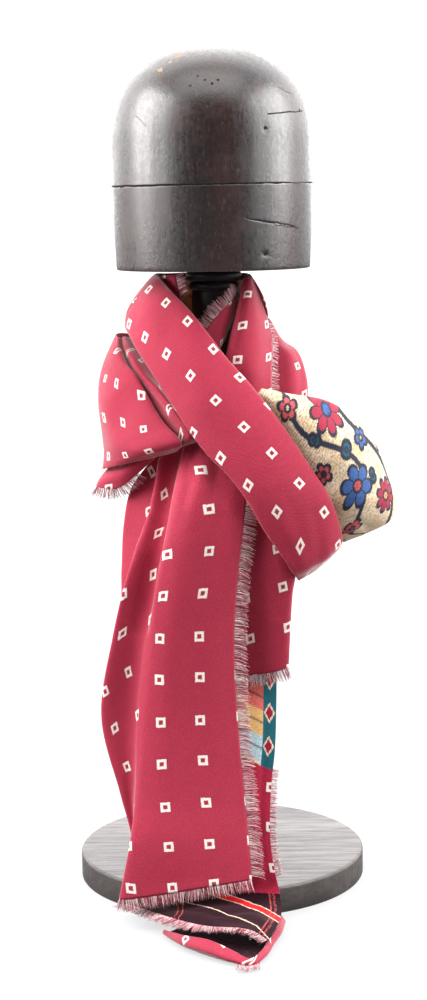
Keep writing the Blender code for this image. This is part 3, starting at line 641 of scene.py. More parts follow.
def fray(name, edge, node, reach, seed, droop=0.0, lean=0.2):
    """Single frayed yarns along one edge, leaning together in small clumps.

    reach and droop are in metres, and lean is a share of the reach.
    """
    settings = bpy.context.scene.cravat_fringe
    points, outward, normal, pattern, growth = edge
    travelled_by = np.concatenate([[0.0], np.cumsum(np.linalg.norm(np.diff(points, axis=0),
                                                                   axis=1))])
    chance = np.random.default_rng(seed)
    verts, places, tints = [], [], []
    t = np.linspace(0.0, 1.0, YARN_STEPS)[None, :, None]
    for layer in YARN_LAYERS:
        count = round(travelled_by[-1] / settings.spacing * layer.share)
        at = (np.arange(count) + chance.uniform(0.1, 0.9, count)) * travelled_by[-1] / count

        def read(values):
            return np.stack([np.interp(at, travelled_by, column) for column in values.T], axis=1)

        here, out, up = read(points), unit(read(outward)), unit(read(normal))
        along = unit(np.cross(up, out))
        # two slow waves make the clumps uneven
        uneven = 0.35 * np.sin(at / 0.0031 + seed) + 0.25 * np.sin(at / 0.0077 + 2.3 * seed)
        middle = (np.round(at / CLUMP + uneven) - uneven) * CLUMP
        gather = ((middle - at) * CLUMP_PULL)[:, None, None]
        slant = (np.sin(at / SWAY + seed) * 0.6 * lean
                 + chance.normal(0.0, 0.4 * lean, count))[:, None, None]
        size = layer.reach * reach * chance.uniform(0.80, 1.06, count)[:, None, None]
        curl = chance.normal(0.0, 0.08, count)[:, None, None]
        lift = (layer.lift + chance.normal(0.0, 0.12, count))[:, None, None] * MM
        path = (here - out * ROOT_TUCK)[:, None] + out[:, None] * (size + ROOT_TUCK) * t
        path = path + along[:, None] * (slant * size * t ** 1.4 + gather * t ** 0.8)
        path = path + up[:, None] * (lift * np.minimum(t * 4, 1.0) + curl * size * t ** 2)
        path[..., 2] -= droop * t[..., 0] ** 2
        path[..., 2] = np.maximum(path[..., 2], YARN_FLOOR)
        ahead = unit(np.gradient(path, axis=1))
        aside = unit(np.cross(ahead, up[:, None]))
        above = np.cross(aside, ahead)
        thick = settings.radius * layer.thickness * (1 - 0.5 * t)
        turn = chance.uniform(0, math.tau, count)[:, None, None]
        rings = []
        for k in range(YARN_SIDES):
            angle = turn + math.tau * k / YARN_SIDES
            rings.append(path + thick * (np.cos(angle) * aside + np.sin(angle) * above))
        verts.append(np.stack(rings, axis=2))
        grown = read(pattern)[:, None] + read(growth)[:, None] * size * t
        places.append(np.repeat(grown[:, :, None], YARN_SIDES, axis=2))
        # darker strand shades for the lower layers: painted shade between the yarns in front
        shade = chance.uniform(layer.darkest, layer.lightest, count)
        tints.append(np.repeat(shade, YARN_STEPS * YARN_SIDES))
    verts, places = np.concatenate(verts), np.concatenate(places)
    faces = yarn_faces(len(verts))
    mesh = bpy.data.meshes.new(name)
    mesh.from_pydata(verts.reshape(-1, 3), [], faces)
    mesh.polygons.foreach_set("use_smooth", [True] * len(faces))
    layer = mesh.uv_layers.new(name="Pattern")
    corners = np.zeros(len(mesh.loops), dtype=int)
    mesh.loops.foreach_get("vertex_index", corners)
    layer.data.foreach_set("uv", places.reshape(-1, 2)[corners].ravel())
    strand = mesh.attributes.new("strand", 'FLOAT', 'POINT')
    strand.data.foreach_set("value", np.concatenate(tints))
    return add_piece(name, mesh, ["frayed_yarn"], node)


def yarn_faces(count):
    """Closed three-sided yarns of YARN_STEPS rings each."""
    faces = []
    for yarn in range(count):
        first = yarn * YARN_STEPS * YARN_SIDES
        faces.append([first + k for k in range(YARN_SIDES)][::-1])
        for ring in range(YARN_STEPS - 1):
            low = first + ring * YARN_SIDES
            for k in range(YARN_SIDES):
                after = (k + 1) % YARN_SIDES
                faces.append([low + k, low + after, low + YARN_SIDES + after,
                              low + YARN_SIDES + k])
        last = first + (YARN_STEPS - 1) * YARN_SIDES
        faces.append([last + k for k in range(YARN_SIDES)])
    return faces


# Node trees

def rgba(value):
    return (*value[:3], 1.0)


class Net:
    """Adds nodes to one tree and joins them. Inputs may be sockets or plain values."""

    def __init__(self, tree):
        self.tree = tree
        self.count = 0

    def node(self, kind, **values):
        made = self.tree.nodes.new(kind)
        made.location = (200 * (self.count // 5), -240 * (self.count % 5))
        self.count += 1
        for key, value in values.items():
            setattr(made, key, value)
        return made

    def give(self, socket, value):
        if isinstance(value, bpy.types.NodeSocket):
            self.tree.links.new(value, socket)
        else:
            socket.default_value = value

    def fill(self, made, values):
        for socket, value in zip(made.inputs, values):
            self.give(socket, value)

    def maths(self, operation, *values):
        made = self.node('ShaderNodeMath', operation=operation)
        self.fill(made, values)
        return made.outputs[0]

    def vector(self, operation, *values):
        made = self.node('ShaderNodeVectorMath', operation=operation)
        self.fill(made, values)
        return made.outputs['Value' if operation == 'LENGTH' else 'Vector']

    def mix(self, factor, one, two):
        made = self.node('ShaderNodeMix', data_type='RGBA')
        for index, value in ((0, factor), (6, one), (7, two)):
            self.give(made.inputs[index], value)
        return made.outputs[2]

    def wash(self, ground, mask, strength, tint):
        """The ground with a tint laid over it where the mask shows."""
        return self.mix(self.maths('MULTIPLY', mask, strength), ground, tint)

    def step(self, value, low, high, to_low=0.0, to_high=1.0):
        """A smooth step from low to high."""
        made = self.node('ShaderNodeMapRange', interpolation_type='SMOOTHSTEP')
        self.fill(made, (value, low, high, to_low, to_high))
        return made.outputs[0]

    def past(self, value, edge, soft):
        """0 before the edge, 1 past it."""
        return self.step(value, edge - soft, edge + soft)

    def between(self, value, low, high, soft):
        """1 between low and high, 0 outside."""
        above = self.past(value, low, soft)
        return self.maths('MULTIPLY', above, self.past(value, high, -soft))

    def ripple(self, value, spacing):
        """A wave that swings between -1 and 1 once in each spacing."""
        return self.maths('SINE', self.maths('MULTIPLY', value, math.tau / spacing))

    def noise(self, place, scale, detail=2.0, roughness=0.5):
        made = self.node('ShaderNodeTexNoise')
        self.give(made.inputs['Vector'], place)
        made.inputs['Scale'].default_value = scale
        made.inputs['Detail'].default_value = detail
        made.inputs['Roughness'].default_value = roughness
        return made.outputs['Fac']

    def split(self, place):
        made = self.node('ShaderNodeSeparateXYZ')
        self.give(made.inputs[0], place)
        return made.outputs

    def join(self, x, y, z=0.0):
        made = self.node('ShaderNodeCombineXYZ')
        self.fill(made, (x, y, z))
        return made.outputs[0]

    def mapped(self, place, scale, turn=(0.0, 0.0, 0.0)):
        made = self.node('ShaderNodeMapping')
        self.give(made.inputs['Vector'], place)
        made.inputs['Scale'].default_value = scale
        made.inputs['Rotation'].default_value = turn
        return made.outputs[0]

    def group(self, name, **values):
        made = self.node('ShaderNodeGroup', node_tree=bpy.data.node_groups[name])
        for key, value in values.items():
            self.give(made.inputs[key], value)
        return made.outputs

    def bump(self, height, distance, strength):
        made = self.node('ShaderNodeBump')
        made.inputs['Strength'].default_value = strength
        made.inputs['Distance'].default_value = distance
        self.give(made.inputs['Height'], height)
        return made.outputs['Normal']


def new_group(name, inputs, outputs):
    """An empty node group; inputs and outputs are names, and a * marks a vector."""
    tree = bpy.data.node_groups.new(name, 'ShaderNodeTree')
    for direction, names in (('INPUT', inputs), ('OUTPUT', outputs)):
        for label in names:
            kind = 'NodeSocketVector' if label.startswith("*") else 'NodeSocketFloat'
            tree.interface.new_socket(label.strip("*"), in_out=direction, socket_type=kind)
    net = Net(tree)
    given = net.node('NodeGroupInput').outputs
    wanted = net.node('NodeGroupOutput').inputs
    return net, given, wanted


def squares_group():
    """Small hollow squares woven on a grid, each a little off its place, with ragged sides, and a
    painted shadow ring just outside each border.
    """
    net, given, wanted = new_group("Woven squares", ["*UV", "Pitch", "Half", "Ring", "Ragged"],
                                   ["Border", "Hollow", "Outline"])
    cells = net.vector('SNAP', given['UV'], (0.0007, 0.0007, 1.0))
    wander = net.node('ShaderNodeTexNoise')
    net.give(wander.inputs['Vector'], cells)
    wander.inputs['Scale'].default_value = 900.0
    wander.inputs['Detail'].default_value = 1.0
    drift = net.vector('SUBTRACT', wander.outputs['Color'], (0.5, 0.5, 0.5))
    drift_scale = net.join(given['Ragged'], given['Ragged'])
    place = net.vector('ADD', given['UV'], net.vector('MULTIPLY', drift, drift_scale))
    u, v, _ = net.split(place)
    column = net.maths('ROUND', net.maths('DIVIDE', u, given['Pitch']))
    row = net.maths('ROUND', net.maths('DIVIDE', v, given['Pitch']))
    dice = net.node('ShaderNodeTexWhiteNoise', noise_dimensions='3D')
    net.give(dice.inputs['Vector'], net.join(column, row))
    throw = net.split(net.vector('SUBTRACT', dice.outputs['Color'], (0.5, 0.5, 0.5)))
    sides = []
    for value, index, chance in ((u, column, throw[0]), (v, row, throw[1])):
        centre = net.maths('MULTIPLY_ADD', index, given['Pitch'],
                           net.maths('MULTIPLY', chance, 0.0016))
        sides.append(net.maths('ABSOLUTE', net.maths('SUBTRACT', value, centre)))
    away = net.maths('MAXIMUM', sides[0], sides[1])
    soft = 0.00028
    whole = net.step(net.maths('SUBTRACT', away, given['Half']), soft, -soft)
    inner = net.maths('SUBTRACT', given['Half'], given['Ring'])
    hollow = net.step(net.maths('SUBTRACT', away, inner), soft, -soft)
    net.give(wanted['Border'], net.maths('SUBTRACT', whole, hollow))
    net.give(wanted['Hollow'], hollow)
    # Outline: a painted shadow ring just outside each square's raised border
    shadow = net.maths('ADD', given['Half'], 0.0006)
    off = net.maths('ABSOLUTE', net.maths('SUBTRACT', away, shadow))
    net.give(wanted['Outline'], net.step(off, 0.0009, 0.0001))


TWILL_TURN = (0.0, 0.0, 0.78)    # the way the yarns of the twill lie


def twill_group():
    """Diagonal ribs and the uneven colour of spun yarns."""
    net, given, wanted = new_group("Twill", ["*UV", "Rib"], ["Height", "Fleck", "Mottle"])
    u, v, _ = net.split(given['UV'])
    wave = net.maths('MULTIPLY', net.noise(given['UV'], 160.0, 2.0), 5.0)
    turns = net.maths('MULTIPLY', net.maths('ADD', u, v), math.tau)
    turns = net.maths('DIVIDE', turns, given['Rib'])
    ribs = net.maths('SINE', net.maths('ADD', turns, wave))
    spun = net.noise(net.mapped(given['UV'], (1.0, 0.35, 1.0), TWILL_TURN), 1500.0, 1.0)
    net.give(wanted['Height'], net.maths('MULTIPLY_ADD', ribs, 0.3, spun))
    fleck = net.noise(net.mapped(given['UV'], (1.0, 0.4, 1.0), TWILL_TURN), 620.0, 3.0, 0.7)
    net.give(wanted['Fleck'], net.step(fleck, 0.34, 0.68))
    net.give(wanted['Mottle'], net.step(net.noise(given['UV'], 75.0, 3.0, 0.6), 0.36, 0.66))


def flower_group():
    """A flower of rounded petals round a heart, with its outline."""
    net, given, wanted = new_group("Flower", ["*UV", "*Centre", "Turn", "Radius", "Petals"],
                                   ["Fill", "Outline", "Heart", "Vein"])
    x, y, _ = net.split(net.vector('SUBTRACT', given['UV'], given['Centre']))
    away = net.maths('SQRT', net.maths('ADD', net.maths('MULTIPLY', x, x),
                                       net.maths('MULTIPLY', y, y)))
    angle = net.maths('ADD', net.maths('ARCTAN2', y, x), given['Turn'])
    lobe = net.maths('MULTIPLY', angle, net.maths('MULTIPLY', given['Petals'], 0.5))
    lobe = net.maths('POWER', net.maths('ABSOLUTE', net.maths('COSINE', lobe)), 0.55)
    rim = net.maths('MULTIPLY', given['Radius'], net.maths('MULTIPLY_ADD', lobe, 0.5, 0.5))
    past = net.maths('SUBTRACT', away, rim)
    soft = 0.0002
    inside = net.step(past, soft, -soft)
    net.give(wanted['Fill'], inside)
    net.give(wanted['Outline'], net.step(net.maths('ABSOLUTE', past), 0.0021, 0.0013))
    from_heart = net.maths('SUBTRACT', away, net.maths('MULTIPLY', given['Radius'], 0.27))
    net.give(wanted['Heart'], net.step(from_heart, soft, -soft))
    between = net.step(lobe, 0.50, 0.34)
    ring = net.step(net.maths('ABSOLUTE', from_heart), 0.0014, 0.0008)
    vein = net.maths('MAXIMUM', between, ring)
    net.give(wanted['Vein'], net.maths('MULTIPLY', vein, inside))


def streaks_group():
    """Wood grain drawn out along one direction: broad bands, fine lines and open pores."""
    net, given, wanted = new_group("Wood streaks", ["*Place"], ["Broad", "Fine", "Pores"])
    net.give(wanted['Broad'], net.step(net.noise(given['Place'], 26.0, 3.0, 0.55), 0.35, 0.68))
    net.give(wanted['Fine'], net.step(net.noise(given['Place'], 190.0, 4.0, 0.65), 0.36, 0.66))
    pores = net.noise(net.mapped(given['Place'], (1.0, 1.0, 2.6)), 620.0, 2.0, 0.5)
    net.give(wanted['Pores'], net.step(pores, 0.60, 0.72))


def spot_group():
    """A small worn place with a ragged rim, at a point in the object's own space."""
    net, given, wanted = new_group("Worn spot", ["*Place", "*Centre", "Radius"], ["Spot"])
    offset = net.vector('SUBTRACT', given['Place'], given['Centre'])
    away = net.vector('LENGTH', net.vector('MULTIPLY', offset, (1.0, 1.0, 1.25)))
    ragged = net.maths('SUBTRACT', net.noise(given['Place'], 420.0, 2.0), 0.5)
    ragged = net.maths('MULTIPLY', ragged, given['Radius'])
    away = net.maths('ADD', away, net.maths('MULTIPLY', ragged, 1.6))
    past = net.maths('SUBTRACT', away, given['Radius'])
    net.give(wanted['Spot'], net.step(past, 0.0003, -0.0003))


# Materials

WHITE = (1.0, 1.0, 1.0, 1.0)
DASH_BROWN = (0.30, 0.17, 0.10, 1.0)         # dashes on the cream
FIBRE_SHADE = (0.05, 0.04, 0.06, 1.0)        # dark fibres of the flowered reverse
PLUM_THREAD = (0.012, 0.004, 0.010, 1.0)     # lighter threads of the plum end
LACQUER_GRAIN = (0.003, 0.002, 0.002, 1.0)
PORE_DUST = (0.10, 0.06, 0.05, 1.0)
# painted shade inside the block's pits and splits
PIT_PAINTED_SHADE = (0.004, 0.003, 0.003, 1.0)
STAIN_PORES = (0.02, 0.016, 0.015, 1.0)
REVERSE_SHEEN = (1.0, 0.9, 0.8)              # sheen tint of the pale parts of the reverse
DULL_GLOSS = 0.08                            # specular level of the darkest cloth
WOVEN_EDGE = 0.0004                          # half the soft width where two patches meet
ALONG_Z = (1.0, 1.0, 0.09)                   # draws the wood grain out upwards
ALONG_X = (0.07, 1.0, 1.0)                   # or along X


def new_material(name, roughness):
    """A material's net of nodes and its Principled shader's inputs."""
    material = bpy.data.materials.new(name)
    material.use_nodes = True
    material.node_tree.nodes.clear()
    net = Net(material.node_tree)
    surface = net.node('ShaderNodeBsdfPrincipled')
    surface.inputs['Roughness'].default_value = roughness
    shown = net.node('ShaderNodeOutputMaterial')
    material.node_tree.links.new(surface.outputs[0], shown.inputs['Surface'])
    return net, surface.inputs


def woven_finish(name, sheen, tint, gloss=0.28):
    net, surface = new_material(name, 0.74)
    surface['Sheen Weight'].default_value = sheen
    surface['Sheen Roughness'].default_value = 0.32
    surface['Sheen Tint'].default_value = rgba(tint)
    surface['Specular IOR Level'].default_value = gloss
    return net, surface, net.node('ShaderNodeUVMap', uv_map="Pattern").outputs['UV']


def finish_cloth(net, surface, ground, height):
    net.give(surface['Base Color'], ground)
    net.give(surface['Normal'], net.bump(height, 0.00025, 0.8))


def woven_squares(net, uv, cloth, ragged):
    return net.group("Woven squares", UV=uv, Pitch=cloth.pitch, Half=cloth.square / 2,
                     Ring=cloth.ring, Ragged=ragged)


def threads(net, uv, across=0.0011, down=0.0008):
    """Places held to the crossings of the weave, so that drawn edges run in small steps."""
    return net.vector('SNAP', uv, (across, down, 1.0))


def crimson_ground(net, uv, cloth):
    """Crimson twill with its hollow squares; gives its colour and its height."""
    shade = rgba(cloth.shade)
    squares = woven_squares(net, uv, cloth, 0.0011)
    twill = net.group("Twill", UV=uv, Rib=cloth.rib)
    ground = net.wash(rgba(cloth.crimson), twill['Fleck'], 0.62, shade)
    ground = net.wash(ground, twill['Mottle'], 0.30, shade)
    specks = net.noise(net.mapped(uv, (1.0, 0.7, 1.0)), 1500.0, 1.0)
    ground = net.wash(ground, net.step(specks, 0.54, 0.70), 0.22, rgba(cloth.lint))
    ground = net.wash(ground, net.step(specks, 0.49, 0.34), 0.60, shade)
    # painted shadow round each woven square's raised border, in the darker crimson
    ground = net.wash(ground, squares['Outline'], 0.45, shade)
    ground = net.wash(ground, squares['Hollow'], 0.7, shade)
    worn = net.maths('MULTIPLY_ADD', twill['Fleck'], -0.22, 0.98)
    ground = net.wash(ground, squares['Border'], worn, rgba(cloth.white))
    height = net.maths('ADD', twill['Height'], net.maths('MULTIPLY', squares['Border'], 0.6))
    return ground, height


def crimson_finish(cloth):
    net, surface, uv = woven_finish("crimson_weave", 1.0, (1.0, 0.93, 0.94))
    ground, height = crimson_ground(net, uv, cloth)
    finish_cloth(net, surface, ground, height)


# Flowers of the reverse: place across and down in millimetres, radius, petals, turn, colours
Bloom = namedtuple("Bloom", "across down radius petals turn fill heart")
BLOOMS = table(Bloom, [
    (51, 60, 20, 8, 0.25, "crimson", "blue"),
    (36, 126, 19, 6, 0.4, "blue", "coral"),
    (20, 30, 10, 5, 0.9, "coral", "cream"),
    (66, 100, 9, 5, 0.2, "blue", "gold"),
    (13, 92, 9, 5, 1.4, "coral", "navy"),
    (66, 158, 15, 8, 0.0, "crimson", "gold"),
    (20, 166, 12, 5, 0.7, "coral", "blue"),
    (84, 66, 13, 6, 0.5, "blue", "coral"),
    (98, 120, 14, 6, 0.2, "coral", "gold"),
    (24, 66, 6, 2, 2.2, "teal", "teal"),
    (44, 94, 7, 2, 0.6, "teal", "teal"),
    (58, 132, 6, 2, 1.3, "teal", "teal"),
])
# Wavy stems between them: middle and swing in millimetres, wave in radians for each metre
Stem = namedtuple("Stem", "middle swing wave phase")
STEMS = table(Stem, [(33, 15, 46.0, 2.6), (74, 9, 52.0, 0.6)])


def flowered_finish(cloth):
    """Woven flowers on cream, with stems and rows of small dashes."""
    net, surface, uv = woven_finish("flowered_weave", 0.18, REVERSE_SHEEN)
    drawn = threads(net, uv)
    u, v, _ = net.split(drawn)
    ripples = net.ripple(net.maths('MULTIPLY_ADD', u, 0.16, v), 0.0026)
    broken = net.step(net.noise(net.mapped(drawn, (0.25, 1.0, 1.0)), 700.0, 1.0), 0.44, 0.56)
    dashes = net.maths('MULTIPLY', net.step(ripples, 0.35, 0.8), broken)
    ground = net.wash(rgba(cloth.cream), dashes, 0.75, DASH_BROWN)
    patches = net.step(net.noise(drawn, 46.0, 1.0), 0.50, 0.56)
    ground = net.wash(ground, patches, 0.30, rgba(cloth.gold))
    for stem in STEMS:
        line = net.maths('SINE', net.maths('MULTIPLY_ADD', v, stem.wave, stem.phase))
        line = net.maths('MULTIPLY_ADD', line, stem.swing * MM, stem.middle * MM)
        off = net.maths('ABSOLUTE', net.maths('SUBTRACT', u, line))
        ground = net.mix(net.step(off, 0.0031, 0.0024), ground, rgba(cloth.navy))
    for bloom in BLOOMS:
        flower = net.group("Flower", UV=drawn, Centre=(bloom.across * MM, bloom.down * MM, 0.0),
                           Turn=bloom.turn, Radius=bloom.radius * MM, Petals=bloom.petals)
        ground = net.mix(flower['Fill'], ground, rgba(getattr(cloth, bloom.fill)))
        ground = net.mix(flower['Heart'], ground, rgba(getattr(cloth, bloom.heart)))
        lines = net.maths('MAXIMUM', flower['Outline'], flower['Vein'])
        ground = net.mix(lines, ground, rgba(cloth.navy))
    fibre = net.noise(net.mapped(uv, (1.0, 0.45, 1.0)), 850.0, 2.0)
    ground = net.wash(ground, net.step(fibre, 0.46, 0.62), 0.42, FIBRE_SHADE)
    finish_cloth(net, surface, ground, net.maths('MULTIPLY_ADD', ripples, 0.4, fibre))


# Strips of the long tail, in millimetres: length of one patch, and width of the teal strip
PATCH_LENGTH = 23.0
PATCH_TINTS = ("coral", "gold", "sky", "cream", "gold", "coral", "sky")
TEAL_STRIP = 11.5
LOZENGE_PITCH = 30.0
LOZENGE_HALF = 4.0


def strips(net, uv, cloth):
    """A teal strip with stepped lozenges, and slanting patches with big stitches beside it."""
    drawn = threads(net, uv, 0.0011, 0.0013)
    u, v, _ = net.split(drawn)
    slanted = net.maths('MULTIPLY_ADD', u, 0.42, v)
    place = net.maths('DIVIDE', slanted, PATCH_LENGTH * MM)
    place = net.maths('FRACT', net.maths('DIVIDE', place, len(PATCH_TINTS)))
    place = net.maths('MULTIPLY', place, len(PATCH_TINTS))
    patches = rgba(getattr(cloth, PATCH_TINTS[0]))
    for index, tint in enumerate(PATCH_TINTS[1:], 1):
        patches = net.mix(net.past(place, index, 0.03), patches, rgba(getattr(cloth, tint)))
    edge = net.between(net.maths('FRACT', place), 0.42, 0.52, 0.02)
    patches = net.wash(patches, edge, 0.7, rgba(cloth.navy))
    checks = net.maths('MULTIPLY', net.ripple(u, 0.0033), net.ripple(v, 0.0026))
    patches = net.wash(patches, net.step(checks, -0.1, 0.3), 0.45, rgba(cloth.cream))
    x = net.maths('ABSOLUTE', net.maths('SUBTRACT', u, 0.5 * TEAL_STRIP * MM))
    y = net.maths('DIVIDE', v, LOZENGE_PITCH * MM)
    y = net.maths('ABSOLUTE', net.maths('SUBTRACT', y, net.maths('ROUND', y)))
    away = net.maths('ADD', net.maths('DIVIDE', x, LOZENGE_HALF * MM),
                     net.maths('MULTIPLY', y, 4.2))
    teal = net.mix(net.step(away, 1.35, 1.20), rgba(cloth.teal), rgba(cloth.cream))
    teal = net.mix(net.step(away, 1.0, 0.88), teal, rgba(cloth.shade))
    ground = net.mix(net.past(u, TEAL_STRIP * MM, WOVEN_EDGE), teal, patches)
    gaps = net.noise(net.mapped(uv, (1.0, 0.6, 1.0)), 800.0, 2.0)
    return net.wash(ground, net.step(gaps, 0.45, 0.7), 0.35, rgba(cloth.navy))


def back_finish(cloth):
    """Back of the crimson stretches, where it turns into sight: the strips again."""
    net, surface, uv = woven_finish("strip_weave", 0.18, REVERSE_SHEEN)
    ground = strips(net, uv, cloth)
    fibre = net.noise(net.mapped(uv, (1.0, 0.3, 1.0)), 1300.0, 2.0)
    finish_cloth(net, surface, ground, fibre)


def plum_ground(net, uv, cloth):
    """The dark end of the reverse; gives its colour and its weave."""
    weave = net.step(net.noise(net.mapped(uv, (0.4, 1.0, 1.0)), 520.0, 2.0), 0.45, 0.6)
    return net.wash(rgba(cloth.plum), weave, 0.6, PLUM_THREAD), weave


# Patches down the under tail, in millimetres from its top, and the bars and the upright fine
# lines of its dark end
STRIPS_END = 231.0
SQUARES_END = 341.0
Bar = namedtuple("Bar", "low high tint")
BARS = table(Bar, [(375.0, 376.4, "cream"), (376.4, 387.0, "red"), (387.0, 388.4, "cream"),
                   (418.0, 419.2, "cream")])
FINE_LINES = (5.0, 8.5, 88.0, 93.0)
FINE_LINE_HALF = 0.5


def patchwork_finish(cloth):
    """Long tail: woven strips, then a crimson patch, then the dark end with its bars."""
    net, surface, uv = woven_finish("patchwork_weave", 0.12, (1.0, 0.7, 0.7), DULL_GLOSS)
    drawn = threads(net, uv)
    u, v, _ = net.split(drawn)
    ragged = net.maths('SUBTRACT', net.noise(drawn, 300.0, 1.0), 0.5)
    ragged = net.maths('MULTIPLY', ragged, 0.0016)
    down = net.maths('ADD', v, ragged)
    across = net.maths('ADD', u, ragged)
    crimson, height = crimson_ground(net, uv, cloth)
    sloped = net.maths('MULTIPLY_ADD', across, 0.3, down)
    ground = net.mix(net.past(sloped, STRIPS_END * MM, WOVEN_EDGE), strips(net, uv, cloth),
                     crimson)
    dark, _ = plum_ground(net, uv, cloth)
    slanting = net.maths('MULTIPLY_ADD', across, 0.72, down)
    for bar in BARS:
        shown = net.between(slanting, bar.low * MM, bar.high * MM, 0.0005)
        dark = net.mix(shown, dark, rgba(getattr(cloth, bar.tint)))
    for line in FINE_LINES:
        thin = net.between(across, (line - FINE_LINE_HALF) * MM, (line + FINE_LINE_HALF) * MM,
                           0.0004)
        dark = net.wash(dark, thin, 0.6, rgba(cloth.coral))
    ground = net.mix(net.past(down, SQUARES_END * MM, WOVEN_EDGE), ground, dark)
    finish_cloth(net, surface, ground, height)


def plum_finish(cloth):
    """The dark end of the reverse, inside the folded tip."""
    net, surface, uv = woven_finish("plum_weave", 0.3, (1.0, 0.7, 0.8), DULL_GLOSS)
    ground, weave = plum_ground(net, uv, cloth)
    finish_cloth(net, surface, ground, weave)


def yarn_finish(cloth, fringe):
    """Frayed yarns of four colours, whiter where a woven square runs on into them."""
    net, surface, uv = woven_finish("frayed_yarn", 0.4, (1.0, 0.7, 0.72))
    strand = net.node('ShaderNodeAttribute', attribute_name="strand").outputs['Fac']
    ground = net.mix(net.step(strand, 0.22, 0.34), rgba(fringe.dark), rgba(fringe.rose))
    ground = net.mix(net.step(strand, 0.52, 0.60), ground, rgba(fringe.pale))
    ground = net.mix(net.step(strand, 0.83, 0.88), ground, rgba(cloth.white))
    squares = woven_squares(net, uv, cloth, 0.0022)
    showing = net.maths('MULTIPLY', squares['Border'], net.step(strand, 0.2, 0.5))
    ground = net.wash(ground, showing, 0.9, rgba(cloth.white))
    twist = net.noise(uv, 1400.0, 2.0)
    ground = net.wash(ground, net.step(twist, 0.4, 0.7), 0.3, rgba(fringe.dark))
    net.give(surface['Base Color'], ground)
    net.give(surface['Normal'], net.bump(twist, 0.0001, 0.6))


# Worn places of the block, in millimetres: chips down to the wood, and small pits, which are
# painted near-black as painted shade inside them
Wear = namedtuple("Wear", "x y z radius")
CHIPS = table(Wear, [(-28, -45, 751, 3.4), (-43.5, -55, 738, 2.8), (-35, -52, 745, 1.5)])
PITS = table(Wear, [
    (-5, -78.5, 728, 1.2), (1, -80.5, 724.5, 1.4), (-11, -75.5, 731.5, 1.1),
    (6, -78.5, 727.5, 1.2), (-17.5, -79.5, 723, 1.0), (46, -76.5, 686.5, 1.9),
    (45, -75, 579, 1.9), (77, -43.5, 703, 1.2),
])

# Thin splits, painted near-black as painted shade inside them: where one starts and ends, in
# millimetres, and its half width
Split = namedtuple("Split", "start_x start_z end_x end_z half")
SPLITS = table(Split, [
    (-95, 639, 22, 639.8, 1.0),
    (22, 639.8, 95, 640, 0.5),
    (28, 610.5, 76, 600, 0.6),
    (48, 698.5, 80, 702, 0.7),
    (-66, 700, -56, 690, 0.4),
    (58, 722, 70, 717, 0.4),
])


def wooden_finish(name, roughness, gloss, stretch):
    """A wood's shader, with the place on it and its grain, drawn out along one axis."""
    net, surface = new_material(name, roughness)
    surface['Specular IOR Level'].default_value = gloss
    place = net.node('ShaderNodeTexCoord').outputs['Object']
    return net, surface, place, net.group("Wood streaks", Place=net.mapped(place, stretch))


def worn_spots(net, place, spots, shown=0.0):
    """1 inside any of the spots."""
    for spot in spots:
        worn = net.group("Worn spot", Place=place, Radius=spot.radius * MM,
                         Centre=(spot.x * MM, spot.y * MM, spot.z * MM))['Spot']
        shown = net.maths('MAXIMUM', worn, shown)
    return shown


def split_lines(net, place, shown):
    """1 in any of the splits, which waver a little, and where something shows already."""
    x, _, z = net.split(place)
    waver = net.maths('MULTIPLY_ADD', net.noise(place, 110.0, 2.0), 0.003, -0.0015)
    level = net.maths('ADD', z, waver)
    for crack in SPLITS:
        slope = (crack.end_z - crack.start_z) / (crack.end_x - crack.start_x)
        middle = net.maths('MULTIPLY_ADD', x, slope, (crack.start_z - slope * crack.start_x) * MM)
        away = net.maths('ABSOLUTE', net.maths('SUBTRACT', level, middle))
        line = net.maths('MULTIPLY', net.step(away, crack.half * MM, crack.half * MM * 0.4),
                         net.between(x, crack.start_x * MM, crack.end_x * MM, 0.001))
        shown = net.maths('MAXIMUM', line, shown)
    return shown


def post_finish(wood):
    """The block's lacquer, duller and whole, on the post under the cloth."""
    net, surface, _, grain = wooden_finish("post_lacquer", 0.45, 0.22, ALONG_Z)
    ground = net.wash(rgba(wood.lacquer), grain['Broad'], 0.5, rgba(wood.worn))
    net.give(surface['Base Color'], net.wash(ground, grain['Fine'], 0.6, LACQUER_GRAIN))
    net.give(surface['Roughness'], net.maths('MULTIPLY_ADD', grain['Fine'], 0.2, 0.34))
    net.give(surface['Normal'], net.bump(grain['Fine'], 0.0003, 0.5))


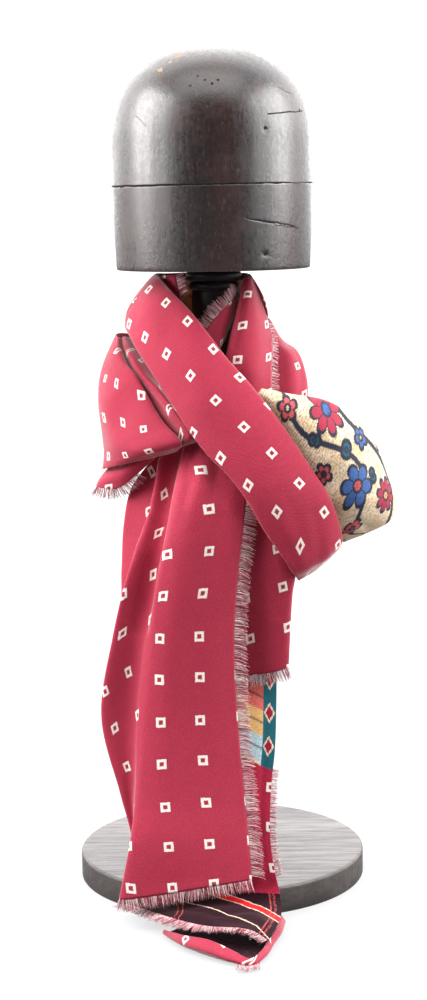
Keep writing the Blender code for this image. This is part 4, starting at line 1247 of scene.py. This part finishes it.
def block_finish(wood):
    """Near-black lacquer over reddish brown wood, rubbed thin in streaks, with chips, and with
    pits and splits darkened by painted shade.
    """
    net, surface, place, grain = wooden_finish("block_lacquer", 0.34, 0.5, ALONG_Z)
    surface['Coat Weight'].default_value = 0.5
    surface['Coat Roughness'].default_value = 0.27
    cloudy = net.step(net.noise(place, 22.0, 3.0, 0.6), 0.46, 0.72)
    ground = net.wash(rgba(wood.lacquer), grain['Broad'], 0.55, rgba(wood.worn))
    ground = net.wash(ground, grain['Fine'], 0.35, rgba(wood.lacquer))
    ground = net.wash(ground, cloudy, 0.45, rgba(wood.worn))
    ground = net.wash(ground, grain['Pores'], 0.5, PORE_DUST)
    chipped = worn_spots(net, place, CHIPS)
    pitted = split_lines(net, place, worn_spots(net, place, PITS))
    ground = net.mix(chipped, ground, rgba(wood.bare))
    # pits and splits near-black: painted shade
    net.give(surface['Base Color'], net.mix(pitted, ground, PIT_PAINTED_SHADE))
    bare = net.maths('MAXIMUM', chipped, pitted)
    net.give(surface['Coat Weight'], net.maths('MULTIPLY_ADD', bare, -0.5, 0.5))
    crazed = net.noise(net.mapped(place, (1.0, 1.0, 0.8)), 260.0, 5.0, 0.75)
    dull = net.maths('MULTIPLY_ADD', grain['Fine'], 0.10, 0.18)
    dull = net.maths('ADD', dull, net.maths('MULTIPLY', cloudy, 0.14))
    dull = net.maths('ADD', dull, net.maths('MULTIPLY', net.step(crazed, 0.4, 0.7), 0.20))
    net.give(surface['Roughness'], net.maths('MAXIMUM', dull, bare))
    height = net.maths('SUBTRACT', net.maths('MULTIPLY', grain['Fine'], 0.15), bare)
    height = net.maths('ADD', height, net.maths('MULTIPLY', crazed, 1.1))
    net.give(surface['Normal'], net.bump(height, 0.00045, 0.7))


def base_finish(wood):
    """Grey-brown stain, satin, with open grain along X."""
    net, surface, _, grain = wooden_finish("base_stain", 0.42, 0.36, ALONG_X)
    ground = net.mix(grain['Broad'], rgba(wood.stain), rgba(wood.grain))
    ground = net.wash(ground, grain['Fine'], 0.5, rgba(wood.stain))
    net.give(surface['Base Color'], net.wash(ground, grain['Pores'], 0.6, STAIN_PORES))
    net.give(surface['Roughness'], net.maths('MULTIPLY_ADD', grain['Fine'], 0.16, 0.30))
    height = net.maths('SUBTRACT', grain['Fine'], grain['Pores'])
    net.give(surface['Normal'], net.bump(height, 0.0003, 0.5))


# The wooden stand, in millimetres

BLOCK_RADIUS = 90.5
BLOCK_RIM_RADIUS = 87.5
BLOCK_BOTTOM = 565.0
BLOCK_SHOULDER = 681.0
BLOCK_TOP = 763.0
DOME_SQUARENESS = 2.3
BASE_RADIUS = 132.5
BASE_HEIGHT = 24.0
BASE_ROUND = 3.0                 # radius of its upper edge, then of its lower one
BASE_FOOT_ROUND = 1.0
POST_RADIUS = 20.0
POST_TOP = 21.0                  # how far below the block the plain post starts
POST_STEP = 20.0
COLLAR_RADIUS = 25.5
COLLAR_ROUND = 5.0
COLLAR_DROP = 6.0
COLLAR_END = 11.3
BEAD_RADIUS = 22.5
BEAD_ROUND = 3.5
BEAD_DROP = 15.0
RIM_ROUND = 1.5
DOME_STEPS = 36
BASE_SIDES, POST_SIDES, BLOCK_SIDES = 180, 72, 200
GAP = 0.3                        # between the stand's parts, as in the construction
CORE = 60.0                      # radius of an extra ring inside the flat ends

# A groove runs round the block from one angle to another, in degrees from the front towards
# the right, between two heights, and fades over its last stretch
Groove = namedtuple("Groove", "start end start_height end_height depth fade")
GROOVES = table(Groove, [
    (-180, 50, 638, 640, 0.9, 14),
    (60, 180, 640, 639, 0.5, 20),
    (22, 68, 700.5, 699.5, 1.1, 9),
    (18, 57, 610, 601, 0.9, 9),
])
GROOVE_HALF = 0.9
GROOVED = ((634, 644), (599, 613))           # heights where the block's rings lie closer
RING_STEP = 2.0
FINE_RING_STEP = 0.45
STRAIGHT = 41.0                              # the block's side is upright this far down
NAILS = [Vector((46.0, -76.5, 686.5)), Vector((45.0, -75.0, 579.0))]
NAIL_RADIUS = 2.6
NAIL_DEPTH = 1.4


def arc(radius, height, edge, start, end, steps):
    """Points of a rounded edge, from one angle to another; 0 points outwards, 90 up."""
    points = []
    for k in range(steps + 1):
        angle = math.radians(start + (end - start) * k / steps)
        points.append((radius - edge + edge * math.cos(angle), height + edge * math.sin(angle)))
    return points


def turn_profile(profile, sides):
    """A bmesh: the profile (radius, height), top to bottom, spun round Z with closed poles."""
    bm = bmesh.new()
    verts = [bm.verts.new((r * MM, 0.0, z * MM)) for r, z in profile]
    edges = [bm.edges.new(pair) for pair in zip(verts, verts[1:])]
    bmesh.ops.spin(bm, geom=verts + edges, cent=(0, 0, 0), axis=(0, 0, 1), angle=math.tau,
                   steps=sides, use_merge=True)
    bmesh.ops.remove_doubles(bm, verts=bm.verts, dist=0.00001)
    bmesh.ops.recalc_face_normals(bm, faces=bm.faces)
    for face in bm.faces:
        face.smooth = True
    return bm


def groove_depth(angle, height):
    """How deep the grooves are at this place of the block, in millimetres."""
    deepest = 0.0
    for groove in GROOVES:
        if not groove.start <= angle <= groove.end:
            continue
        share = (angle - groove.start) / (groove.end - groove.start)
        middle = groove.start_height + (groove.end_height - groove.start_height) * share
        to_end = min(angle - groove.start, groove.end - angle)
        if groove.start == -180:
            # it comes round from the back, so only its other end fades
            to_end = groove.end - angle
        shape = max(0.0, 1 - abs(height - middle) / GROOVE_HALF)
        deepest = max(deepest, groove.depth * shape * min(1.0, to_end / groove.fade))
    return deepest


def block_profile():
    """The block's profile (radius, height): its dome, its side and its flat underside."""
    profile = [(0.0, BLOCK_TOP)]
    for k in range(1, DOME_STEPS + 1):
        angle = math.pi / 2 * k / DOME_STEPS
        radius = BLOCK_RADIUS * math.sin(angle) ** (2 / DOME_SQUARENESS)
        rise = (BLOCK_TOP - BLOCK_SHOULDER) * math.cos(angle) ** (2 / DOME_SQUARENESS)
        profile.append((radius, BLOCK_SHOULDER + rise))
    straight = BLOCK_SHOULDER - BLOCK_BOTTOM
    height = BLOCK_SHOULDER - 1.0
    while height > BLOCK_BOTTOM + 2.0:
        low = max(0.0, (BLOCK_SHOULDER - STRAIGHT - height) / (straight - STRAIGHT))
        profile.append((BLOCK_RADIUS - (BLOCK_RADIUS - BLOCK_RIM_RADIUS) * low, height))
        fine = any(start < height < end for start, end in GROOVED)
        height -= FINE_RING_STEP if fine else RING_STEP
    rim = arc(BLOCK_RIM_RADIUS, BLOCK_BOTTOM + RIM_ROUND, RIM_ROUND, 0, -90, 4)
    return profile + rim + [(CORE, BLOCK_BOTTOM), (0.0, BLOCK_BOTTOM)]


def wear_block(bm):
    """Presses the grooves and the nail holes into the block's surface."""
    for vert in bm.verts:
        angle = math.degrees(math.atan2(vert.co.x, -vert.co.y))
        depth = groove_depth(angle, vert.co.z / MM) * MM
        for nail in NAILS:
            away = (vert.co / MM - nail).length
            depth = max(depth, NAIL_DEPTH * MM * max(0.0, 1 - (away / NAIL_RADIUS) ** 2))
        flat = Vector((vert.co.x, vert.co.y, 0.0))
        if depth and flat.length > 0.05:
            vert.co -= flat.normalized() * depth


class AddStand(bpy.types.Operator):
    """Turn the round base, the post and the hat block"""
    bl_idname = "cravat.add_stand"
    bl_label = "Wooden stand"

    def execute(self, context):
        top = arc(BASE_RADIUS, BASE_HEIGHT - BASE_ROUND, BASE_ROUND, 90, 0, 8)
        bottom = arc(BASE_RADIUS, BASE_FOOT_ROUND, BASE_FOOT_ROUND, 0, -90, 4)
        inner = [(0.0, BASE_HEIGHT), (CORE, BASE_HEIGHT), (2 * CORE, BASE_HEIGHT)]
        bm = turn_profile(inner + top + bottom + [(CORE, 0.0), (0.0, 0.0)], BASE_SIDES)
        add_piece("base_disc", to_mesh("base_disc", bm), ["base_stain"], "base")

        low, high = BASE_HEIGHT + GAP, BLOCK_BOTTOM - GAP
        collar = arc(COLLAR_RADIUS, high - COLLAR_DROP, COLLAR_ROUND, 90, -90, 14)
        bead = arc(BEAD_RADIUS, high - BEAD_DROP, BEAD_ROUND, 90, -90, 10)
        profile = [(0.0, high), (COLLAR_RADIUS - COLLAR_ROUND, high)] + collar
        profile += [(BEAD_RADIUS - BEAD_ROUND, high - COLLAR_END)] + bead
        profile += [(POST_RADIUS, high - POST_TOP - POST_STEP * k) for k in range(26)]
        bm = turn_profile(profile + [(POST_RADIUS, low), (0.0, low)], POST_SIDES)
        add_piece("post_turned", to_mesh("post_turned", bm), ["post_lacquer"],
                  "post")

        bm = turn_profile(block_profile(), BLOCK_SIDES)
        wear_block(bm)
        add_piece("block_dome", to_mesh("block_dome", bm), ["block_lacquer"],
                  "hat_block")
        return {'FINISHED'}


def crimson_shell(name, cloth, node):
    """A stretch that shows the crimson face, with the strips of the reverse on its back."""
    shell(name, cloth, ("crimson_weave", "strip_weave"), node)


class AddBand(bpy.types.Operator):
    """Lay the loop round the post and the band that crosses the front"""
    bl_idname = "cravat.add_band"
    bl_label = "Loop and cross band"

    def execute(self, context):
        sections = [band_section(section) for section in LOOP + BAND]
        seam = len(LOOP) / (len(LOOP) + len(BAND) - 1)
        loop = Cloth(sections, (0, 1, 0), last=seam)
        crimson_shell("neck_wrap_cloth", loop, "neck_wrap")
        band = Cloth(sections, (0, -1, 0), first=seam, creases=BAND_CREASES, pins=BAND_PINS)
        crimson_shell("cross_band_cloth", band, "cross_band")
        back = Cloth(KNOT_BACK, (0, -1, 0))
        crimson_shell("knot_back_cloth", back, "knot_back")
        return {'FINISHED'}


class AddLeftDrape(bpy.types.Operator):
    """Hang the left drape with its long pleat, and its hem turned under with its fringe"""
    bl_idname = "cravat.add_left_drape"
    bl_label = "Left drape"

    def execute(self, context):
        drape = Cloth(LEFT_DRAPE, (-1, -1, 0), creases=LEFT_DRAPE_CREASES, pins=LEFT_DRAPE_PINS)
        shell("left_drape_cloth", drape, ("crimson_weave",), "left_drape")
        flap = Cloth(HEM_FLAP, (-1, -1, 0))
        yarns = fray("left_hem_yarns", flap.edge("hem", 0.3, 0.857), "left_hem_fringe",
                     FRINGE_REACH, 17)
        crimson_shell("left_hem_cloth", flap, "left_hem_flap")
        return {'FINISHED'}


class AddNeckStrips(bpy.types.Operator):
    """Lay the inner edges of the cloth on both sides of the neck, with their fringes"""
    bl_idname = "cravat.add_neck_strips"
    bl_label = "Neck strips"

    def execute(self, context):
        left = Cloth(NECK_LEFT, (0, -1, 0))
        yarns = fray("neck_left_yarns", left.edge("right", 0.0, 1.0), "neck_left_fringe",
                     FRINGE_REACH, 31)
        crimson_shell("neck_left_cloth", left, "neck_left_strip")
        right = Cloth(INNER_STRIP, (0, -1, 0), pins=INNER_PINS)
        yarns = fray("neck_right_yarns", right.edge("top", 0.0, 1.0), "neck_right_fringe",
                     0.012, 5)
        crimson_shell("neck_right_cloth", right, "neck_right_strip")
        return {'FINISHED'}


class AddRightSide(bpy.types.Operator):
    """Fold the right drape with its fringe over the shoulder behind it"""
    bl_idname = "cravat.add_right_side"
    bl_label = "Right drape and shoulder"

    def execute(self, context):
        fold = Cloth(RIGHT_DRAPE, (1, -1, 0), creases=RIGHT_DRAPE_CREASES, pins=RIGHT_DRAPE_PINS)
        yarns = fray("right_drape_yarns", fold.edge("right", 0.36, 0.84), "right_drape_fringe",
                     0.009, 7)
        crimson_shell("right_drape_cloth", fold, "right_drape")
        shoulder = Cloth(RIGHT_SHOULDER, (1, 0, 0), creases=SHOULDER_CREASES,
                         pins=SHOULDER_PINS)
        crimson_shell("right_shoulder_cloth", shoulder, "right_shoulder")
        return {'FINISHED'}


class AddWing(bpy.types.Operator):
    """Shape the loop of the knot that shows the flowered reverse"""
    bl_idname = "cravat.add_wing"
    bl_label = "Patterned wing"

    def execute(self, context):
        wing = Cloth(WING, (0, -1, 0), creases=WING_CREASES)
        shell("wing_cloth", wing, ("flowered_weave", "crimson_weave"),
              "patterned_wing")
        return {'FINISHED'}


class AddFrontTail(bpy.types.Operator):
    """Hang the broad front tail, frayed down its right edge and along its hem"""
    bl_idname = "cravat.add_front_tail"
    bl_label = "Front tail"

    def execute(self, context):
        tail = Cloth([tail_section(section) for section in FRONT_TAIL], (0, -1, 0),
                     creases=FRONT_TAIL_CREASES, pins=FRONT_PINS, cut=0.47,
                     pins_past_cut=PANEL_PINS)
        side = fray("front_side_yarns", tail.edge("left", 0.24, 0.992), "front_side_fringe",
                    0.0125, 11, droop=0.003)
        hem = fray("front_hem_yarns", tail.edge("hem", 0.0, 1.0), "front_hem_fringe",
                   FRINGE_REACH, 13)
        crimson_shell("front_tail_cloth", tail, "front_tail")
        return {'FINISHED'}


class AddSideTail(bpy.types.Operator):
    """Hang the short tail behind the front tail's right edge"""
    bl_idname = "cravat.add_side_tail"
    bl_label = "Side tail"

    def execute(self, context):
        side = Cloth(SIDE_TAIL, (0, -1, 0), creases=SIDE_TAIL_CREASES, pins=SIDE_TAIL_PINS)
        yarns = fray("side_tail_yarns", side.edge("hem", 0.2, 0.74), "side_tail_fringe",
                     FRINGE_REACH, 17)
        crimson_shell("side_tail_cloth", side, "side_tail")
        return {'FINISHED'}


def tip_corner(tip):
    """The tip's outermost corner, where its fringe lies out on the floor."""
    rows = np.abs(tip.down[:, None] - np.linspace(0.42, 0.57, 30)[None, :]).argmin(axis=0)
    quarters = [round(share * tip.columns) for share in (0.25, 0.5, 0.75)]
    floor, bottom, swell = (tip.points[rows, column] for column in quarters)
    outward = unit((swell - floor) * np.array([1.0, 1.0, 0.0]))
    points = swell + outward * 0.0004
    points[:, 2] = bottom[:, 2] + 0.0006
    up = np.zeros_like(points) + np.array([0.0, 0.0, 1.0])
    pattern = tip.pattern[rows, quarters[2]]
    growth = np.zeros_like(pattern) + np.array([1.0, 0.0])
    return points, outward, up, pattern, growth


class AddUnderTail(bpy.types.Operator):
    """Hang the longest tail over the rim, with its end folded back on the floor"""
    bl_idname = "cravat.add_under_tail"
    bl_label = "Under tail and its tip"

    def execute(self, context):
        under = Cloth(UNDER_TAIL, (0, -1, 0), creases=UNDER_TAIL_CREASES)
        side = fray("under_side_yarns", under.edge("left", 0.46, 0.7), "under_side_fringe",
                    0.007, 19)
        hem = fray("under_hem_yarns", under.edge("hem", 0.0, 1.0), "under_hem_fringe", 0.012,
                   23, lean=0.5)
        shell("under_tail_cloth", under, ("patchwork_weave", "crimson_weave"),
              "under_tail")
        tip = Cloth(TAIL_TIP, (0, 0, -1), creases=TIP_CREASES)
        corner = fray("tip_corner_yarns", tip_corner(tip), "tip_corner_fringe", 0.013, 29,
                      lean=0.35)
        shell("tail_tip_cloth", tip, ("crimson_weave", "plum_weave"),
              "tail_tip")
        return {'FINISHED'}


class MixFinishes(bpy.types.Operator):
    """Mix the weaves, yarns and wood finishes"""
    bl_idname = "cravat.mix_finishes"
    bl_label = "Finishes"

    def execute(self, context):
        for make in (squares_group, twill_group, flower_group, streaks_group, spot_group):
            make()
        cloth = context.scene.cravat_cloth
        for finish in (crimson_finish, back_finish, flowered_finish, patchwork_finish,
                       plum_finish):
            finish(cloth)
        yarn_finish(cloth, context.scene.cravat_fringe)
        for finish in (post_finish, block_finish, base_finish):
            finish(context.scene.cravat_wood)
        return {'FINISHED'}


# Stage, light and camera

# place and size in metres of each softbox, with its share of the named power
Softbox = namedtuple("Softbox", "name power share x y z width height")
SOFTBOXES = table(Softbox, [
    ("left_softbox", "key", 1.12, -0.90, -0.14, 0.91, 0.50, 0.82),
    ("left_strip", "key", 0.27, -0.78, -0.56, 0.91, 0.20, 0.82),
    ("right_softbox", "fill", 1.12, 0.90, -0.14, 0.91, 0.50, 0.82),
    ("right_strip", "fill", 0.27, 0.78, -0.56, 0.91, 0.20, 0.82),
    ("top_softbox", "top", 1.0, 0.0, -0.42, 1.45, 0.9, 0.6),
])
AIM = Vector((0.0, -0.05, 0.38))             # where every softbox looks to
FLOOR_SIZE = 30.0
FLOOR_FADE = (0.25, 1.1)                     # the floor goes white between these distances
FRONT_FADE = (-0.88, -0.46)                  # headings along Y between front and side light
BACK_FADE = (-0.05, 0.45)                    # and between side and back light
LENS = 71.93
SENSOR = 36.0
CAMERA_PLACE = Vector((-0.0032, -1.820, 0.628))
CAMERA_DROP = math.radians(8.594)
CAMERA_ROLL = -0.0155


def lay_floor(settings):
    """A pale floor that turns white with distance, and glows for the camera alone."""
    net, surface = new_material("pale_floor", 0.9)
    surface['Base Color'].default_value = rgba(settings.floor)
    surface['Specular IOR Level'].default_value = 0.0
    place = net.node('ShaderNodeTexCoord').outputs['Object']
    far = net.step(net.vector('LENGTH', place), *FLOOR_FADE)
    seen = net.node('ShaderNodeLightPath').outputs['Is Camera Ray']
    glow = net.maths('MULTIPLY', net.maths('MAXIMUM', far, settings.floor_glow), seen)
    surface['Emission Color'].default_value = WHITE
    net.give(surface['Emission Strength'], glow)
    bm = bmesh.new()
    bmesh.ops.create_grid(bm, x_segments=1, y_segments=1, size=FLOOR_SIZE)
    mesh = to_mesh("pale_floor", bm)
    mesh.materials.append(bpy.data.materials["pale_floor"])
    put("pale_floor", mesh)


def light_room(settings):
    """Even light: weak from the camera's side, stronger from the sides and the back."""
    world = bpy.data.worlds.new("studio")
    world.use_nodes = True
    world.node_tree.nodes.clear()
    net = Net(world.node_tree)
    background = net.node('ShaderNodeBackground')
    seen = net.node('ShaderNodeLightPath').outputs['Is Camera Ray']
    heading = net.split(net.node('ShaderNodeTexCoord').outputs['Generated'])[1]
    front = net.step(heading, *FRONT_FADE, settings.ambient_front, settings.ambient_sides)
    tone = net.maths('ADD', front, net.step(heading, *BACK_FADE, 0.0, settings.ambient_back))
    tone = net.join(tone, tone, tone)
    net.give(background.inputs['Color'], net.mix(seen, tone, WHITE))
    shown = net.node('ShaderNodeOutputWorld')
    world.node_tree.links.new(background.outputs[0], shown.inputs['Surface'])
    bpy.context.scene.world = world


def hang_softbox(box, power):
    lamp = bpy.data.lights.new(box.name, 'AREA')
    lamp.shape = 'RECTANGLE'
    lamp.size, lamp.size_y = box.width, box.height
    lamp.energy = power * box.share
    place = Vector((box.x, box.y, box.z))
    turn = (place - AIM).to_track_quat('Z', 'Y').to_matrix().to_4x4()
    put(box.name, lamp).matrix_world = Matrix.Translation(place) @ turn


def set_camera():
    lens = bpy.data.cameras.new("camera")
    lens.lens = LENS
    lens.sensor_width = SENSOR
    lens.sensor_fit = 'AUTO'
    camera = put("camera", lens)
    tilt = Matrix.Rotation(math.pi / 2 - CAMERA_DROP, 4, 'X')
    roll = Matrix.Rotation(CAMERA_ROLL, 4, 'Z')
    camera.matrix_world = Matrix.Translation(CAMERA_PLACE) @ tilt @ roll
    bpy.context.scene.camera = camera


class SetStage(bpy.types.Operator):
    """Lay the pale floor and set the lights and the camera"""
    bl_idname = "cravat.set_stage"
    bl_label = "Stage, lights and camera"

    def execute(self, context):
        settings = context.scene.cravat_stage
        lay_floor(settings)
        light_room(settings)
        for box in SOFTBOXES:
            hang_softbox(box, getattr(settings, box.power))
        set_camera()
        context.scene.view_settings.view_transform = 'Standard'
        return {'FINISHED'}


class CravatPanel(bpy.types.Panel):
    """Buttons for the stage and each group of pieces"""
    bl_idname = "CRAVAT_PT_pieces"
    bl_label = "Cravat"
    bl_space_type = 'VIEW_3D'
    bl_region_type = 'UI'
    bl_category = "Cravat"

    def draw(self, context):
        for name in ("cravat_cloth", "cravat_fringe", "cravat_wood", "cravat_stage"):
            settings = getattr(context.scene, name)
            box = self.layout.box()
            for key in settings.__annotations__:
                box.prop(settings, key)
        for operator in OPERATORS:
            self.layout.operator(operator.bl_idname)


SETTINGS = {"cravat_cloth": ClothSettings, "cravat_fringe": FringeSettings,
            "cravat_wood": WoodSettings, "cravat_stage": StageSettings}
OPERATORS = (MixFinishes, SetStage, AddStand, AddBand, AddLeftDrape, AddNeckStrips,
             AddRightSide, AddWing, AddFrontTail, AddSideTail, AddUnderTail)


def register():
    for group in SETTINGS.values():
        bpy.utils.register_class(group)
    for name, group in SETTINGS.items():
        setattr(bpy.types.Scene, name, bpy.props.PointerProperty(type=group))
    for operator in OPERATORS:
        bpy.utils.register_class(operator)
    bpy.utils.register_class(CravatPanel)


def unregister():
    bpy.utils.unregister_class(CravatPanel)
    for operator in reversed(OPERATORS):
        bpy.utils.unregister_class(operator)
    for name in SETTINGS:
        delattr(bpy.types.Scene, name)
    for group in reversed(list(SETTINGS.values())):
        bpy.utils.unregister_class(group)


def main():
    register()
    bpy.ops.cravat.mix_finishes()
    bpy.ops.cravat.set_stage()
    bpy.ops.cravat.add_stand()
    bpy.ops.cravat.add_band()
    bpy.ops.cravat.add_left_drape()
    bpy.ops.cravat.add_neck_strips()
    bpy.ops.cravat.add_right_side()
    bpy.ops.cravat.add_wing()
    bpy.ops.cravat.add_front_tail()
    bpy.ops.cravat.add_side_tail()
    bpy.ops.cravat.add_under_tail()
    bpy.context.view_layer.update()


if __name__ == "__main__":
    main()
